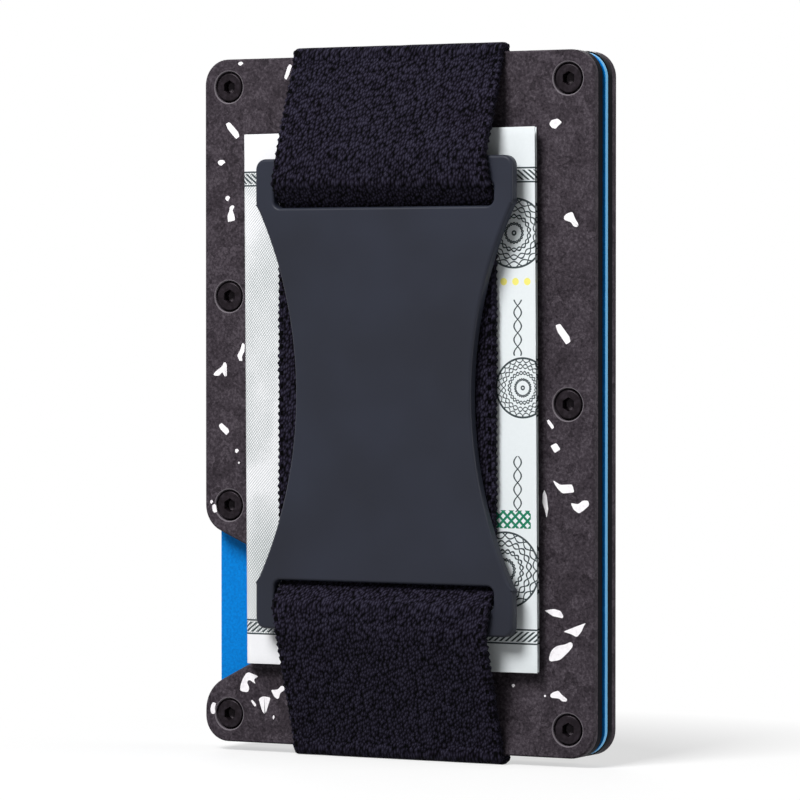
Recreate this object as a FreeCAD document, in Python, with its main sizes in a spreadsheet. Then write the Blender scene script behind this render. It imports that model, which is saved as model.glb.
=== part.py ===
"""Minimalist card wallet with a cash strap, modelled upright on its short end.

The wallet is two rigid halves. Each half is a forged-carbon outer plate screwed to a
black aluminium inner plate by seven small hex-socket screws. An elastic band and an
elastic web are clamped between the plates of each half and cross the card gap, so they
draw the halves together on the cards. A cash strap loops round the front outer plate
and through the two slots of an hourglass clip that presses the folded banknotes flat.

Frame: X across the wallet, +X is the card mouth. -Y is the strap side, +Y the plain
back. +Z is up. The origin is under the middle of the whole wallet, where it stands.
Lengths are in millimetres.
"""
import FreeCAD, Part
import Sketcher
import math
import os

Vector = FreeCAD.Vector

# Driving dimensions: name, value or formula over other names, what it is.
DIMENSIONS = [
    # payment card, the size everything else follows
    ("card_width", 53.98, "payment card"),
    ("card_height", 85.6, "payment card"),
    ("card_thickness", 0.76, "payment card"),
    ("card_corner_radius", 3.18, "payment card"),
    ("card_overhang", 0.17, "card past the plates at the mouth"),
    # the two plates of a half
    ("plate_cover_width", 0.52, "plates wider than the card, along X"),
    ("plate_cover_height", 0.4, "plates higher than the card, along Z"),
    ("plate_width", "=card_width + plate_cover_width", "outline of all four plates, along X"),
    ("plate_height", "=card_height + plate_cover_height", "outline of all four plates, along Z"),
    ("corner_radius", 3.2, "four outer corners of the plates"),
    ("outer_thickness", 1.25, "forged-carbon outer plate"),
    ("inner_thickness", 1.4, "aluminium inner plate"),
    ("card_gap", 1.1, "space between the inner plates at rest"),
    ("face_chamfer", 0.2, "outer plates, round the outer face"),
    ("lead_in_chamfer", 0.25, "inner plates, round the face the cards rub on"),
    # thumb notch through all four plates
    ("notch_upper_slope", 24.0, "degrees, upper flank below the level"),
    ("notch_lower_slope", 27.6, "degrees, lower flank above the level"),
    ("notch_floor_radius", 7.9, "round inner end of the notch"),
    ("lower_lobe_radius", 4.4, "plate edge under the notch"),
    ("lower_lobe_height", 3.9, "centre of that edge above the plate's bottom"),
    # screws
    ("screw_inset", 3.5, "screw centre from the plate's edges"),
    ("screw_head_diameter", 3.55, "flat head"),
    ("screw_head_height", 0.75, "flat head"),
    ("screw_shank_diameter", 2.0, "M2 thread"),
    ("screw_end_clearance", 0.1, "shank end below the inner plate's card face"),
    ("hex_across_flats", 1.45, "drive socket"),
    ("hex_depth", 0.5, "drive socket"),
    ("seat_diameter", 3.95, "counterbore for the head"),
    ("seat_depth", 0.85, "counterbore for the head"),
    ("shank_play", 0.2, "radial play of the shank in the outer plate"),
    ("thread_play", 0.02, "radial play of the shank in the inner plate"),
    # cash strap
    ("strap_centre", 0.6, "middle of the strap and clip, along X"),
    ("strap_width", 29.2, "woven elastic"),
    ("strap_thickness", 1.1, "woven elastic where it is free"),
    ("strap_clamped_thickness", 0.7, "the same elastic squeezed between the plates"),
    ("strap_play", 0.03, "between the strap and the plates it lies on"),
    ("strap_side_play", 0.3, "channel beyond each edge of the strap"),
    ("outer_relief", 0.3, "strap channel in the back of the front outer plate"),
    ("wrap_length", 1.0, "flat run of strap on the plate next to its end"),
    # elastic between the halves
    ("band_width", 18.0, "elastic band round both inner plates"),
    ("elastic_thickness", 0.45, "band and web"),
    ("elastic_play", 0.03, "between the elastic and the plates that clamp it"),
    ("elastic_side_play", 0.3, "channel beyond each edge of the band or web"),
    ("band_end_step", 0.2, "inner plates' ends set back under the band"),
    ("web_width", 16.0, "elastic web across the closed long side"),
    ("web_grip", 8.5, "web held between the plates of each half"),
    ("web_edge_inset", 0.12, "web inside the plates' long edge"),
    # banknotes
    ("note_width", 41.0, "notes folded in four"),
    ("note_height", 66.3, "short side of a banknote"),
    ("note_thickness", 1.7, "folded stack"),
    ("note_centre", -0.1, "middle of the notes, along X"),
    ("note_raise", 0.4, "middle of the notes above the middle of the plates"),
    ("note_play", 0.05, "between the notes and what they lie on"),
    ("note_step", 0.6, "each free edge of the fold stops short of the one above"),
    # clip
    ("clip_height", 58.4, "end bar to end bar"),
    ("clip_width", 35.8, "across the end bars"),
    ("clip_waist", 24.4, "across the middle"),
    ("clip_thickness", 1.6, "moulded plate"),
    ("clip_raise", 1.0, "middle of the clip above the middle of the plates"),
    ("clip_corner_radius", 1.3, "outer corners of the clip"),
    ("clip_shoulder_radius", 3.0, "where the waist curve meets the straight ends"),
    ("clip_end_length", 5.6, "straight side of each end, along Z"),
    ("clip_edge_chamfer", 0.4, "round the clip's front face and both rims of the slots"),
    ("clip_bar", 3.1, "end bar, along Z"),
    ("clip_rail", 2.6, "side rail beside each slot"),
    ("slot_height", 3.0, "slot for the strap, along Z"),
    ("slot_corner_radius", 0.9, "slot for the strap"),
    ("clip_play", 0.08, "between the clip and the strap"),
]

doc = FreeCAD.newDocument("wallet")
sheet = doc.addObject("Spreadsheet::Sheet", "Sizes")
for row, (alias, value, meaning) in enumerate(DIMENSIONS, start=1):
    sheet.set("A%d" % row, alias)
    sheet.set("B%d" % row, str(value))
    sheet.set("C%d" % row, meaning)
    sheet.setAlias("B%d" % row, alias)
doc.recompute()


def number(expression):
    """Value of an expression over the sheet's names, such as "Sizes.card_gap / 2"."""
    return float(sheet.evalExpression(expression))


# Depths through the stack, from the front outer face at depth 0 towards the back.
HALF = "(Sizes.outer_thickness + Sizes.inner_thickness)"
STACK = "(2 * %s + Sizes.card_gap)" % HALF
# Heights of what lies on the front outer face, towards the strap side.
NOTE_TOP = "(Sizes.note_play + Sizes.note_thickness)"
STRAP_TOP = "(%s + Sizes.note_play + Sizes.strap_thickness)" % NOTE_TOP
CLIP_UNDERSIDE = "(%s + Sizes.clip_play)" % STRAP_TOP
CLIP_TOP = "(%s + Sizes.clip_thickness)" % CLIP_UNDERSIDE
STRAP_CREST = "(%s + Sizes.clip_play + Sizes.strap_thickness)" % CLIP_TOP
# Places in the row frame.
FRONT_FACE_Y = "((%s - %s) / 2)" % (STRAP_CREST, STACK)
MIDDLE_Z = "(Sizes.strap_thickness + Sizes.strap_play + Sizes.plate_height / 2)"
# Channels milled in the inner plates' outer faces.
STRAP_CHANNEL = "(Sizes.strap_clamped_thickness + 2 * Sizes.strap_play - Sizes.outer_relief)"
ELASTIC_CHANNEL = "(Sizes.elastic_thickness + 2 * Sizes.elastic_play)"


# ---------------------------------------------------------------- drawing helpers

def new_body(label, place_x="0", place_y="0", place_z="0"):
    """PartDesign body whose place is bound to the sheet."""
    body = doc.addObject("PartDesign::Body", label)
    body.Label = label
    body.setExpression("Placement.Base.x", place_x)
    body.setExpression("Placement.Base.y", place_y)
    body.setExpression("Placement.Base.z", place_z)
    return body


def new_sketch(body, role, name, raised_by="0"):
    """Sketch on one of the body's own origin planes, raised along that plane's normal."""
    sketch = body.newObject("Sketcher::SketchObject", name)
    origin_plane = [item for item in body.Origin.OriginFeatures if item.Role == role][0]
    sketch.AttachmentSupport = (origin_plane, [""])
    sketch.MapMode = "FlatFace"
    sketch.setExpression("AttachmentOffset.Base.z", raised_by)
    return sketch


def line(start, end):
    """Straight piece of an outline between two (x, y) points."""
    return Part.LineSegment(Vector(start[0], start[1], 0), Vector(end[0], end[1], 0))


def arc(centre, radius, start_degrees, end_degrees):
    """Counter-clockwise arc of an outline."""
    circle = Part.Circle(Vector(centre[0], centre[1], 0), Vector(0, 0, 1), radius)
    return Part.ArcOfCircle(circle, math.radians(start_degrees), math.radians(end_degrees))


def arc_between(centre, radius, first, last):
    """Arc of less than half a turn between two points on a circle, drawn counter-clockwise."""
    angles = [math.degrees(math.atan2(end.y - centre.y, end.x - centre.x)) for end in (first, last)]
    if (angles[1] - angles[0]) % 360 > 180:
        angles.reverse()
    full_turn = 360 if angles[1] < angles[0] else 0
    return arc((centre.x, centre.y), radius, angles[0], angles[1] + full_turn)


def rounded_outline(corners, radii):
    """Closed outline through corner points, each corner rounded to its own radius."""
    count = len(corners)
    entries, exits, arcs = [], [], []
    for index, (corner, radius) in enumerate(zip(corners, radii)):
        here = Vector(corner[0], corner[1], 0)
        before = Vector(*corners[index - 1], 0) - here
        after = Vector(*corners[(index + 1) % count], 0) - here
        before.normalize()
        after.normalize()
        half_angle = before.getAngle(after) / 2
        if radius <= 0 or half_angle > math.radians(89.9):
            entries.append(here)
            exits.append(here)
            arcs.append(None)
            continue
        setback = radius / math.tan(half_angle)
        inward = (before + after).normalize()
        centre = here + inward * (radius / math.sin(half_angle))
        entries.append(here + before * setback)
        exits.append(here + after * setback)
        arcs.append(arc_between(centre, radius, entries[-1], exits[-1]))
    pieces = []
    for index in range(count):
        if arcs[index] is not None:
            pieces.append(arcs[index])
        pieces.append(Part.LineSegment(exits[index], entries[(index + 1) % count]))
    return pieces


def strip_outlines(points, thicknesses, bends, closed):
    """Outlines of a strip laid along a route of (x, y) points.

    Each run between two points has its own thickness, shared out evenly on both sides, and
    bends gives the inner radius at each point. A closed strip has two outlines.
    """
    count = len(points)
    runs = []
    for index in range(count if closed else count - 1):
        start, end = Vector(*points[index], 0), Vector(*points[(index + 1) % count], 0)
        along = (end - start).normalize()
        runs.append((along, Vector(-along.y, along.x, 0), thicknesses[index]))
    sides = {1: [], -1: []}
    radii = {1: [], -1: []}
    for index in range(count):
        here = Vector(*points[index], 0)
        if not closed and index in (0, count - 1):
            _, across, thickness = runs[0 if index == 0 else -1]
            for side in sides:
                sides[side].append(here + across * (side * thickness / 2))
                radii[side].append(0)
            continue
        along, across, thickness = runs[index - 1]
        next_along, next_across, next_thickness = runs[index]
        turn = cross(along, next_along)
        for side in sides:
            start = here + across * (side * thickness / 2)
            gap = here + next_across * (side * next_thickness / 2) - start
            sides[side].append(start + along * (cross(gap, next_along) / turn))
            outside = 0 if side * turn > 0 else max(thickness, next_thickness)
            radii[side].append(bends[index] + outside)
    corners = {side: [(corner.x, corner.y) for corner in sides[side]] for side in sides}
    if closed:
        return [rounded_outline(corners[side], radii[side]) for side in (1, -1)]
    return [rounded_outline(corners[1] + corners[-1][::-1], radii[1] + radii[-1][::-1])]


def cross(first, second):
    """Turn from one plane direction to another, as the Z of their cross product."""
    return first.x * second.y - first.y * second.x


def draw(sketch, pieces):
    """Add a closed chain of lines and arcs to a sketch and pin their ends together."""
    first = sketch.GeometryCount
    sketch.addGeometry(pieces, False)
    for index, piece in enumerate(pieces):
        follower = pieces[(index + 1) % len(pieces)]
        joint = [(end, start) for end in (1, 2) for start in (1, 2)
                 if end_point(piece, end).distanceToPoint(end_point(follower, start)) < 1e-6]
        end, start = joint[0]
        sketch.addConstraint(Sketcher.Constraint(
            "Coincident", first + index, end, first + (index + 1) % len(pieces), start))


def end_point(piece, end):
    """Start (1) or end (2) of a line or arc."""
    return piece.StartPoint if end == 1 else piece.EndPoint


def draw_circles(sketch, centres, diameter_expression):
    """Equal circles whose diameter is bound to the sheet."""
    for centre in centres:
        radius = number(diameter_expression) / 2
        index = sketch.addGeometry(
            Part.Circle(Vector(centre[0], centre[1], 0), Vector(0, 0, 1), radius), False)
        constraint = sketch.addConstraint(Sketcher.Constraint("Diameter", index, 2 * radius))
        sketch.setExpression("Constraints[%d]" % constraint, diameter_expression)


def draw_box(sketch, low, high):
    """Rectangle between two opposite (x, y) corners."""
    draw(sketch, rounded_outline(
        [low, (high[0], low[1]), high, (low[0], high[1])], [0, 0, 0, 0]))


def pad(body, sketch, length, backwards=False, midplane=False):
    """Pad a sketch; backwards runs against the sketch's normal."""
    feature = body.newObject("PartDesign::Pad", sketch.Name + "_pad")
    feature.Profile = sketch
    feature.setExpression("Length", length)
    feature.Reversed = backwards
    feature.Midplane = midplane
    doc.recompute()
    return feature


def pocket(body, sketch, depth=None, along_normal=False):
    """Cut a sketch to a depth, or through everything, against the sketch's normal by default."""
    volume = body.Tip.Shape.Volume
    feature = body.newObject("PartDesign::Pocket", sketch.Name + "_cut")
    feature.Profile = sketch
    if depth is None:
        feature.Type = 1
        feature.Midplane = True
    else:
        feature.setExpression("Length", depth)
        feature.Reversed = along_normal
    doc.recompute()
    if not feature.Shape.Volume < volume:
        raise ValueError("%s cuts nothing" % feature.Name)
    return feature


def dress(body, kind, edges, amount):
    """Chamfer or Fillet on the body's present edges that a test accepts."""
    base = body.Tip
    names = ["Edge%d" % (index + 1) for index, edge in enumerate(base.Shape.Edges) if edges(edge)]
    if not names:
        raise ValueError("no edges for %s on %s" % (kind, body.Label))
    feature = body.newObject("PartDesign::" + kind, "%s_%s" % (body.Label, kind.lower()))
    feature.Base = (base, names)
    feature.setExpression("Size" if kind == "Chamfer" else "Radius", amount)
    doc.recompute()
    return feature


def lies_at_depth(depth):
    """Test for edges that lie wholly in the plane y = depth of their body."""
    def test(edge):
        box = edge.BoundBox
        return abs(box.YMin - depth) < 1e-4 and abs(box.YMax - depth) < 1e-4
    return test


# ---------------------------------------------------------------- plates

def screw_places():
    """Centres of the seven screws from the middle of a plate: four at the left, three right."""
    across = number("Sizes.plate_width / 2 - Sizes.screw_inset")
    up = number("Sizes.plate_height / 2 - Sizes.screw_inset")
    left = [(-across, up), (-across, up / 3), (-across, -up / 3), (-across, -up)]
    right = [(across, up), (across, 0.0), (across, -up)]
    return left + right


def flank(centre, radius, slope, upwards):
    """Point and direction where a notch flank leaves the round edge beside the notch."""
    angle = math.radians(slope)
    direction = Vector(math.cos(angle), math.sin(angle) if upwards else -math.sin(angle), 0)
    outward = Vector(-direction.y, direction.x, 0) if upwards else Vector(direction.y, -direction.x, 0)
    return Vector(centre[0], centre[1], 0) + outward * radius, direction


def plate_outline():
    """Rounded rectangle with the thumb notch near the bottom of its left side."""
    half_width = number("Sizes.plate_width / 2")
    half_height = number("Sizes.plate_height / 2")
    corner = number("Sizes.corner_radius")
    upper_slope = number("Sizes.notch_upper_slope")
    lower_slope = number("Sizes.notch_lower_slope")
    # The plate's edge runs round the third screw of the left column and into the upper flank.
    upper_radius = number("Sizes.screw_inset")
    upper_centre = screw_places()[2]
    lower_radius = number("Sizes.lower_lobe_radius")
    lower_centre = (lower_radius - half_width, number("Sizes.lower_lobe_height") - half_height)
    upper_start, upper_way = flank(upper_centre, upper_radius, upper_slope, upwards=False)
    lower_start, lower_way = flank(lower_centre, lower_radius, lower_slope, upwards=True)
    # The flanks would meet at the apex; the round floor touches both.
    reach = cross(lower_start - upper_start, lower_way) / cross(upper_way, lower_way)
    apex = upper_start + upper_way * reach
    floor_radius = number("Sizes.notch_floor_radius")
    half_angle = math.radians(upper_slope + lower_slope) / 2
    setback = floor_radius / math.tan(half_angle)
    floor_top = apex - upper_way * setback
    floor_bottom = apex - lower_way * setback
    inward = (upper_way + lower_way).normalize()
    floor_centre = apex - inward * (floor_radius / math.sin(half_angle))
    inner_x, inner_z = half_width - corner, half_height - corner
    return [
        arc((inner_x, inner_z), corner, 0, 90),
        line((inner_x, half_height), (-inner_x, half_height)),
        arc((-inner_x, inner_z), corner, 90, 180),
        line((-half_width, inner_z), (-half_width, upper_centre[1])),
        arc(upper_centre, upper_radius, 180, 270 - upper_slope),
        line((upper_start.x, upper_start.y), (floor_top.x, floor_top.y)),
        arc_between(floor_centre, floor_radius, floor_top, floor_bottom),
        line((floor_bottom.x, floor_bottom.y), (lower_start.x, lower_start.y)),
        arc(lower_centre, lower_radius, 90 + lower_slope, 180),
        line((-half_width, lower_centre[1]), (-half_width, -inner_z)),
        arc((-inner_x, -inner_z), corner, 180, 270),
        line((-inner_x, -half_height), (inner_x, -half_height)),
        arc((inner_x, -inner_z), corner, 270, 360),
        line((half_width, -inner_z), (half_width, inner_z)),
    ]


def strap_channel(body, depth, name, raised_by="0", along_normal=False):
    """Full-height channel that the strap's clamped run lies in."""
    half_width = number("Sizes.strap_width / 2 + Sizes.strap_side_play")
    centre = number("Sizes.strap_centre")
    top = number("Sizes.plate_height / 2")
    sketch = new_sketch(body, "XZ_Plane", name, raised_by)
    draw_box(sketch, (centre - half_width, -top), (centre + half_width, top))
    return pocket(body, sketch, depth, along_normal)


def make_outer_plate(label, front):
    """Forged-carbon plate with its outer face at the body's y = 0.

    The front plate's material runs back from that face and the rear plate's runs forward.
    """
    place = FRONT_FACE_Y if front else "%s + %s" % (FRONT_FACE_Y, STACK)
    body = new_body(label, "0", place, MIDDLE_Z)
    outline = new_sketch(body, "XZ_Plane", label + "_outline")
    draw(outline, plate_outline())
    pad(body, outline, "Sizes.outer_thickness", backwards=front)
    dress(body, "Chamfer", lies_at_depth(0), "Sizes.face_chamfer")
    seats = new_sketch(body, "XZ_Plane", label + "_seats")
    draw_circles(seats, screw_places(), "Sizes.seat_diameter")
    pocket(body, seats, "Sizes.seat_depth", along_normal=not front)
    shank_holes = new_sketch(body, "XZ_Plane", label + "_shank_holes")
    draw_circles(shank_holes, screw_places(),
                 "Sizes.screw_shank_diameter + 2 * Sizes.shank_play")
    pocket(body, shank_holes)
    if front:
        strap_channel(body, "Sizes.outer_relief", label + "_strap_relief",
                      raised_by="-Sizes.outer_thickness", along_normal=True)
        relief_depth = number("Sizes.outer_thickness - Sizes.outer_relief")
        end = number("Sizes.plate_height / 2")

        def relief_end(edge):
            box = edge.BoundBox
            return (lies_at_depth(relief_depth)(edge) and box.ZLength < 1e-4
                    and abs(abs(box.ZMin) - end) < 1e-4)
        dress(body, "Chamfer", relief_end, "Sizes.face_chamfer")
    return body


def make_inner_plate(label, front):
    """Aluminium plate with its outer face at the body's y = 0 and the cards on its other face."""
    place = ("%s + Sizes.outer_thickness" % FRONT_FACE_Y if front
             else "%s + %s - Sizes.outer_thickness" % (FRONT_FACE_Y, STACK))
    body = new_body(label, "0", place, MIDDLE_Z)
    outline = new_sketch(body, "XZ_Plane", label + "_outline")
    draw(outline, plate_outline())
    pad(body, outline, "Sizes.inner_thickness", backwards=front)
    card_face = number("Sizes.inner_thickness") * (1 if front else -1)
    dress(body, "Chamfer", lies_at_depth(card_face), "Sizes.lead_in_chamfer")
    threads = new_sketch(body, "XZ_Plane", label + "_threads")
    draw_circles(threads, screw_places(), "Sizes.screw_shank_diameter + 2 * Sizes.thread_play")
    pocket(body, threads)
    depth = ELASTIC_CHANNEL
    if front:
        strap_channel(body, STRAP_CHANNEL, label + "_strap_channel")
        depth = "%s + %s" % (STRAP_CHANNEL, ELASTIC_CHANNEL)

    # Band channel over the whole height, with both ends set back for the band to cross.
    half_band = number("Sizes.band_width / 2 + Sizes.elastic_side_play")
    centre = number("Sizes.strap_centre")
    top = number("Sizes.plate_height / 2")
    step = number("Sizes.band_end_step")
    band_channel = new_sketch(body, "XZ_Plane", label + "_band_channel")
    draw_box(band_channel, (centre - half_band, -top), (centre + half_band, top))
    pocket(body, band_channel, depth, along_normal=not front)
    end_steps = new_sketch(body, "XZ_Plane", label + "_end_steps")
    for low, high in ((-top, step - top), (top - step, top)):
        draw_box(end_steps, (centre - half_band, low), (centre + half_band, high))
    pocket(body, end_steps)

    # Web channel and the step in the long edge that the web crosses.
    side = number("Sizes.plate_width / 2")
    web_middle = (screw_places()[0][1] + screw_places()[1][1]) / 2
    half_web = number("Sizes.web_width / 2 + Sizes.elastic_side_play")
    grip = number("Sizes.web_grip + Sizes.web_edge_inset + Sizes.elastic_side_play")
    edge_step = number("Sizes.web_edge_inset + Sizes.elastic_thickness + Sizes.elastic_play")
    low, high = web_middle - half_web, web_middle + half_web
    web_channel = new_sketch(body, "XZ_Plane", label + "_web_channel")
    draw_box(web_channel, (-side, low), (grip - side, high))
    pocket(body, web_channel, ELASTIC_CHANNEL, along_normal=not front)
    side_step = new_sketch(body, "XZ_Plane", label + "_side_step")
    draw_box(side_step, (-side, low), (edge_step - side, high))
    pocket(body, side_step)
    return body


# ---------------------------------------------------------------- screws

def make_screw(label, place, front):
    """Hex-socket screw, head at its body's y = 0 and shank towards +y, turned round at the back."""
    head_play = "(Sizes.seat_depth - Sizes.screw_head_height)"
    head_y = ("%s + %s" % (FRONT_FACE_Y, head_play) if front
              else "%s + %s - %s" % (FRONT_FACE_Y, STACK, head_play))
    sideways = "(Sizes.plate_width / 2 - Sizes.screw_inset)"
    x_expression = sideways if place[0] > 0 else "-" + sideways
    upwards = "(Sizes.plate_height / 2 - Sizes.screw_inset)"
    share = place[1] / number(upwards)
    z_expression = "%s + %s * %s" % (MIDDLE_Z, upwards, share_expression(share))
    body = new_body(label, x_expression, head_y, z_expression)
    if not front:
        body.setExpression("Placement.Rotation.Angle", "180")
    head = number("Sizes.screw_head_diameter / 2")
    shank = number("Sizes.screw_shank_diameter / 2")
    head_height = number("Sizes.screw_head_height")
    length = number(HALF + " - (Sizes.seat_depth - Sizes.screw_head_height)"
                    " - Sizes.screw_end_clearance")
    profile = new_sketch(body, "XY_Plane", label + "_profile")
    draw(profile, [
        line((0, 0), (head, 0)),
        line((head, 0), (head, head_height)),
        line((head, head_height), (shank, head_height)),
        line((shank, head_height), (shank, length)),
        line((shank, length), (0, length)),
        line((0, length), (0, 0)),
    ])
    turned = body.newObject("PartDesign::Revolution", label + "_turned")
    turned.Profile = profile
    turned.ReferenceAxis = (profile, ["V_Axis"])
    turned.Angle = 360
    doc.recompute()
    socket = new_sketch(body, "XZ_Plane", label + "_socket")
    across_corners = number("Sizes.hex_across_flats") / math.cos(math.radians(30)) / 2
    corners = [(across_corners * math.sin(math.radians(60 * turn)),
                across_corners * math.cos(math.radians(60 * turn))) for turn in range(6)]
    draw(socket, rounded_outline(corners, [0] * 6))
    pocket(body, socket, "Sizes.hex_depth")
    return body


def share_expression(share):
    """Rows of screws stand at simple shares of the column's half height."""
    thirds = round(share * 3)
    return "%d / 3" % thirds if thirds >= 0 else "(%d / 3)" % thirds


# ---------------------------------------------------------------- strap and elastic

def make_cash_strap(label):
    """Closed loop of woven elastic round the front outer plate and through the clip."""
    free = number("Sizes.strap_thickness")
    clamped = number("Sizes.strap_clamped_thickness")
    play = number("Sizes.strap_play")
    plate_end = number("Sizes.plate_height / 2")
    clamped_y = number("Sizes.outer_thickness - Sizes.outer_relief") + play + clamped / 2
    end_z = plate_end + play + free / 2
    face_y = -play - free / 2
    crest_y = free / 2 - number(STRAP_CREST)
    under_clip_y = free / 2 - number(STRAP_TOP)
    bar_top = number("Sizes.clip_height / 2")
    bar_bottom = bar_top - number("Sizes.clip_bar")
    slot_bottom = bar_bottom - number("Sizes.slot_height")
    at_plate = [(clamped_y, end_z), (face_y, end_z), (face_y, plate_end - number("Sizes.wrap_length"))]
    at_clip = [(crest_y, bar_top), (crest_y, bar_bottom), (under_clip_y, slot_bottom)]
    middle = number("Sizes.clip_raise")
    upper = at_plate + [(y, middle + z) for y, z in at_clip]
    lower = [(y, -z) for y, z in at_plate] + [(y, middle - z) for y, z in at_clip]
    plate_bend = number("Sizes.face_chamfer")
    slot_bend = number("Sizes.clip_edge_chamfer")
    bends = [plate_bend, plate_bend, 2 * free, 2 * free, slot_bend, slot_bend]
    route = new_body(label, "Sizes.strap_centre", FRONT_FACE_Y, MIDDLE_Z)
    section = new_sketch(route, "YZ_Plane", label + "_section")
    points = upper + lower[::-1]
    thicknesses = [free] * (len(points) - 1) + [clamped]
    for outline in strip_outlines(points, thicknesses, bends + bends[::-1], closed=True):
        draw(section, outline)
    pad(route, section, "Sizes.strap_width", midplane=True)
    return route


def make_elastic_band(label):
    """Band round both inner plates the long way, crossing the card gap at both short ends."""
    thickness = number("Sizes.elastic_thickness")
    front_y = number("Sizes.outer_thickness + %s + Sizes.elastic_play" % STRAP_CHANNEL) + thickness / 2
    rear_y = number("%s - Sizes.outer_thickness - Sizes.elastic_play" % STACK) - thickness / 2
    end_z = number("Sizes.card_height / 2 + 2 * Sizes.elastic_play") + thickness / 2
    body = new_body(label, "Sizes.strap_centre", FRONT_FACE_Y, MIDDLE_Z)
    section = new_sketch(body, "YZ_Plane", label + "_section")
    points = [(rear_y, end_z), (front_y, end_z), (front_y, -end_z), (rear_y, -end_z)]
    bend = number("Sizes.elastic_play * 2")
    for outline in strip_outlines(points, [thickness] * 4, [bend] * 4, closed=True):
        draw(section, outline)
    pad(body, section, "Sizes.band_width", midplane=True)
    return body


def make_elastic_web(label):
    """Web folded across the card gap at the closed long side, above the thumb notch."""
    thickness = number("Sizes.elastic_thickness")
    depth = number("Sizes.outer_thickness + Sizes.elastic_play") + thickness / 2
    edge_x = number("Sizes.web_edge_inset - Sizes.plate_width / 2") + thickness / 2
    grip_x = edge_x + number("Sizes.web_grip")
    rear_y = number(STACK) - depth
    middle = "(Sizes.plate_height / 2 - Sizes.screw_inset) * 2 / 3"
    body = new_body(label, "0", FRONT_FACE_Y, "%s + %s" % (MIDDLE_Z, middle))
    section = new_sketch(body, "XY_Plane", label + "_section")
    points = [(grip_x, depth), (edge_x, depth), (edge_x, rear_y), (grip_x, rear_y)]
    bend = number("Sizes.elastic_play * 2")
    for outline in strip_outlines(points, [thickness] * 3, [0, bend, bend, 0], closed=False):
        draw(section, outline)
    pad(body, section, "Sizes.web_width", midplane=True)
    return body


# ---------------------------------------------------------------- clip, card and notes

def make_clip(label):
    """Hourglass clip, front face at its body's y = 0, with a closed slot at each end."""
    half_height = number("Sizes.clip_height / 2")
    half_width = number("Sizes.clip_width / 2")
    half_waist = number("Sizes.clip_waist / 2")
    shoulder = half_height - number("Sizes.clip_end_length")
    # The waist is one arc through both shoulders of a side.
    bow = half_width - half_waist
    waist_radius = (bow ** 2 + shoulder ** 2) / (2 * bow)
    centre_x = half_waist + waist_radius
    spread = math.degrees(math.asin(shoulder / waist_radius))
    body = new_body(label, "Sizes.strap_centre", "%s - %s" % (FRONT_FACE_Y, CLIP_TOP),
                    "%s + Sizes.clip_raise" % MIDDLE_Z)
    outline = new_sketch(body, "XZ_Plane", label + "_outline")
    draw(outline, [
        line((-half_width, half_height), (-half_width, shoulder)),
        arc((-centre_x, 0), waist_radius, -spread, spread),
        line((-half_width, -shoulder), (-half_width, -half_height)),
        line((-half_width, -half_height), (half_width, -half_height)),
        line((half_width, -half_height), (half_width, -shoulder)),
        arc((centre_x, 0), waist_radius, 180 - spread, 180 + spread),
        line((half_width, shoulder), (half_width, half_height)),
        line((half_width, half_height), (-half_width, half_height)),
    ])
    pad(body, outline, "Sizes.clip_thickness", backwards=True)

    def upright_edge_at(z):
        def test(edge):
            box = edge.BoundBox
            return (box.XLength < 1e-4 and box.ZLength < 1e-4
                    and abs(abs(box.XMin) - half_width) < 1e-4 and abs(abs(box.ZMin) - z) < 1e-4)
        return test
    dress(body, "Fillet", upright_edge_at(half_height), "Sizes.clip_corner_radius")
    dress(body, "Fillet", upright_edge_at(shoulder), "Sizes.clip_shoulder_radius")
    dress(body, "Chamfer", lies_at_depth(0), "Sizes.clip_edge_chamfer")

    slot_top = half_height - number("Sizes.clip_bar")
    slot_bottom = slot_top - number("Sizes.slot_height")
    slot_side = half_width - number("Sizes.clip_rail")
    slots = new_sketch(body, "XZ_Plane", label + "_slots")
    for low, high in ((slot_bottom, slot_top), (-slot_top, -slot_bottom)):
        draw(slots, rounded_outline(
            [(-slot_side, low), (slot_side, low), (slot_side, high), (-slot_side, high)],
            [number("Sizes.slot_corner_radius")] * 4))
    pocket(body, slots)

    def slot_rim(edge):
        box = edge.BoundBox
        return (box.YLength < 1e-4 and box.XMax < slot_side + 1e-4
                and min(abs(box.ZMin), abs(box.ZMax)) > slot_bottom - 1e-4
                and max(abs(box.ZMin), abs(box.ZMax)) < slot_top + 1e-4)
    dress(body, "Chamfer", slot_rim, "Sizes.clip_edge_chamfer")
    return body


def make_card(label):
    """Payment card in the gap, a little proud of the plates at the mouth."""
    half_width = number("Sizes.card_width / 2")
    half_height = number("Sizes.card_height / 2")
    body = new_body(label, "(Sizes.plate_width - Sizes.card_width) / 2 + Sizes.card_overhang",
                    "%s + %s + Sizes.card_gap / 2" % (FRONT_FACE_Y, HALF), MIDDLE_Z)
    outline = new_sketch(body, "XZ_Plane", label + "_outline")
    draw(outline, rounded_outline(
        [(-half_width, -half_height), (half_width, -half_height),
         (half_width, half_height), (-half_width, half_height)],
        [number("Sizes.card_corner_radius")] * 4))
    pad(body, outline, "Sizes.card_thickness", midplane=True)
    return body


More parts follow.
